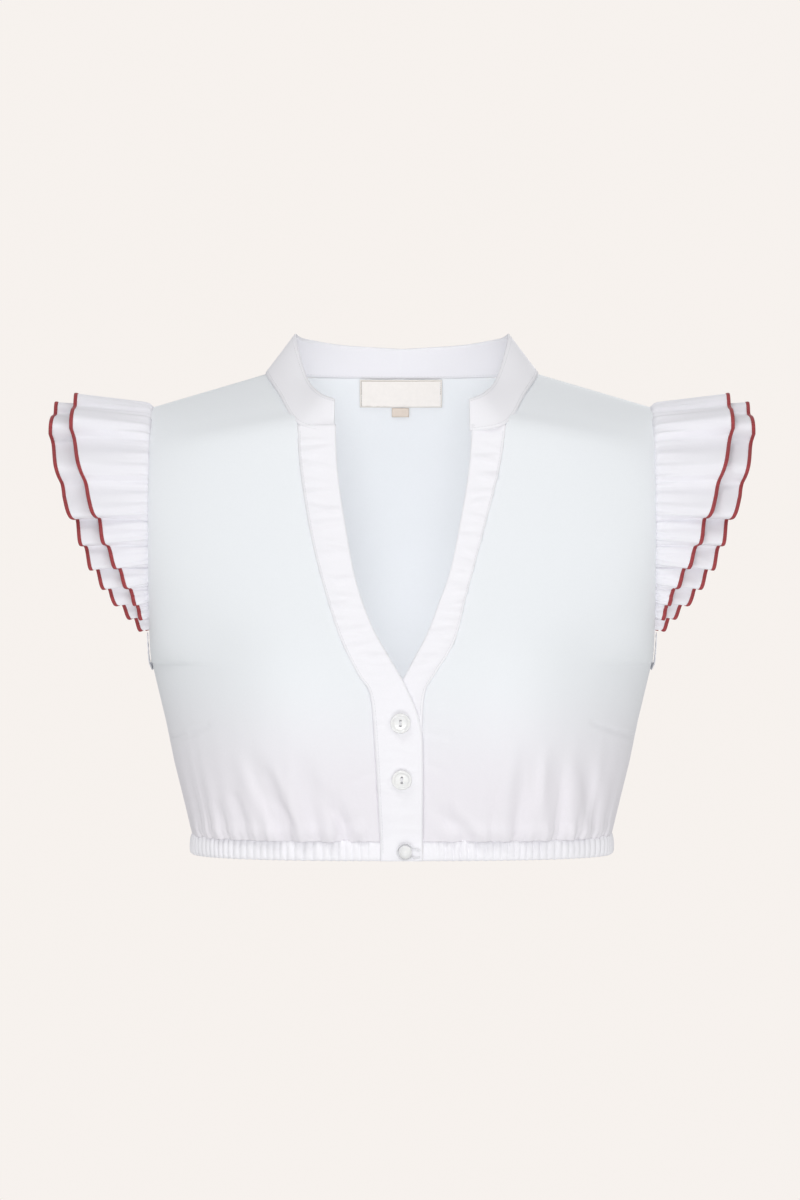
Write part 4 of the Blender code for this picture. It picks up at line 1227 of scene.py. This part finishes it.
def label_border(grid):
    """A fine woven line just inside the edge of the label."""
    right = LABEL_WIDE - LABEL_INSET
    top = LABEL_HIGH - LABEL_INSET
    corners = [(LABEL_INSET, LABEL_INSET), (right, LABEL_INSET), (right, top), (LABEL_INSET, top)]
    line = []
    for index in range(4 * BORDER_STEPS + 1):
        corner, step = divmod(index, BORDER_STEPS)
        (x0, z0), (x1, z1) = corners[corner % 4], corners[(corner + 1) % 4]
        x = x0 + (x1 - x0) * step / BORDER_STEPS
        z = z0 + (z1 - z0) * step / BORDER_STEPS
        row = min(int(z / LABEL_HIGH * (grid.shape[0] - 1)), grid.shape[0] - 2)
        column = min(int(x / LABEL_WIDE * (grid.shape[1] - 1)), grid.shape[1] - 2)
        line.append((grid[0, 0, 0] + x, grid[row, column, 1] - 0.28, grid[0, 0, 2] + z))
    mesh = tube_mesh("Label border", np.array(line), 0.26, 6)
    return add_piece("Label border", mesh, "Border Thread")


class BLOUSE_OT_make_labels(bpy.types.Operator):
    """Makes the bare woven label and the small tab inside the back neck"""

    bl_idname = "blouse.make_labels"
    bl_label = "Make Labels"

    def execute(self, context):
        grid = lining_sheet(LABEL_WIDE, LABEL_HIGH, -0.7, 11.2, 40, 14)
        label = add_cloth("Neck label", grid, 0.5 * MM, "Label Satin", "neck_label")
        border = label_border(grid)
        for name, column in (("right", 1), ("left", -2)):
            line = grid[1:-1, column]
            add_stitches(f"Label stitches {name}", line, np.tile(FORWARDS, (len(line), 1)), 0.3)
        grid = lining_sheet(12.5, 6.5, -1.1, -9.2, 12, 6)
        tab = add_cloth("Size tab", grid, 0.6 * MM, "Tab Satin", "size_tab")
        return {"FINISHED"}


class BLOUSE_OT_make_stage(bpy.types.Operator):
    """Makes the cream backdrop all round, which lights nothing, the soft light and the level camera"""

    bl_idname = "blouse.make_stage"
    bl_label = "Make Stage"

    def execute(self, context):
        scene = context.scene
        scene.view_settings.view_transform = "Standard"
        paper = bpy.data.objects.new("Backdrop", ball_mesh("Backdrop", 32, 16, 8.0))
        paper.data.materials.append(material("Studio Paper"))
        for ray in ("diffuse", "glossy", "transmission", "shadow"):
            setattr(paper, "visible_" + ray, False)
        scene.collection.objects.link(paper)
        for name, place, target, size, power in LIGHTS:
            data = bpy.data.lights.new(name, "AREA")
            data.shape = "RECTANGLE"
            data.size, data.size_y = size
            data.energy = power
            light = bpy.data.objects.new(name, data)
            light.location = place
            light.rotation_euler = (Vector(target) - Vector(place)).to_track_quat("-Z", "Y").to_euler()
            scene.collection.objects.link(light)
        scene.world = bpy.data.worlds.new("Studio")
        scene.world.use_nodes = True
        background = scene.world.node_tree.nodes["Background"]
        background.inputs["Color"].default_value = (1.0, 1.0, 1.0, 1.0)
        background.inputs["Strength"].default_value = WORLD_STRENGTH
        lens = bpy.data.cameras.new("Camera")
        lens.sensor_width = SENSOR_WIDTH
        lens.lens = LENS_LENGTH
        camera = bpy.data.objects.new("Camera", lens)
        camera.location = CAMERA_PLACE
        camera.rotation_euler = (math.pi / 2, 0.0, 0.0)
        scene.collection.objects.link(camera)
        scene.camera = camera
        return {"FINISHED"}


STEPS = (
    BLOUSE_OT_make_back,
    BLOUSE_OT_make_fronts,
    BLOUSE_OT_make_collar,
    BLOUSE_OT_make_bands,
    BLOUSE_OT_make_casing,
    BLOUSE_OT_make_sleeves,
    BLOUSE_OT_make_buttons,
    BLOUSE_OT_make_hem_closure,
    BLOUSE_OT_make_labels,
    BLOUSE_OT_make_stage,
)


class BLOUSE_PT_panel(bpy.types.Panel):
    """Sizes, colours and building steps of the blouse"""

    bl_idname = "BLOUSE_PT_panel"
    bl_label = "Dirndl Blouse"
    bl_space_type = "VIEW_3D"
    bl_region_type = "UI"
    bl_category = "Blouse"

    def draw(self, context):
        for group in (context.scene.blouse_sizes, context.scene.blouse_colours):
            box = self.layout.box()
            for name in group.bl_rna.properties.keys():
                if name not in ("rna_type", "name"):
                    box.prop(group, name)
        for step in STEPS:
            self.layout.operator(step.bl_idname)


CLASSES = (BlouseSizes, BlouseColours, *STEPS, BLOUSE_PT_panel)


def register():
    for made in CLASSES:
        bpy.utils.register_class(made)
    bpy.types.Scene.blouse_sizes = bpy.props.PointerProperty(type=BlouseSizes)
    bpy.types.Scene.blouse_colours = bpy.props.PointerProperty(type=BlouseColours)


def unregister():
    del bpy.types.Scene.blouse_colours
    del bpy.types.Scene.blouse_sizes
    for made in reversed(CLASSES):
        bpy.utils.unregister_class(made)


def main():
    register()
    for step in STEPS:
        group, name = step.bl_idname.split(".")
        if getattr(getattr(bpy.ops, group), name)() != {"FINISHED"}:
            raise RuntimeError(f"{step.bl_label} did not finish")


if __name__ == "__main__":
    main()
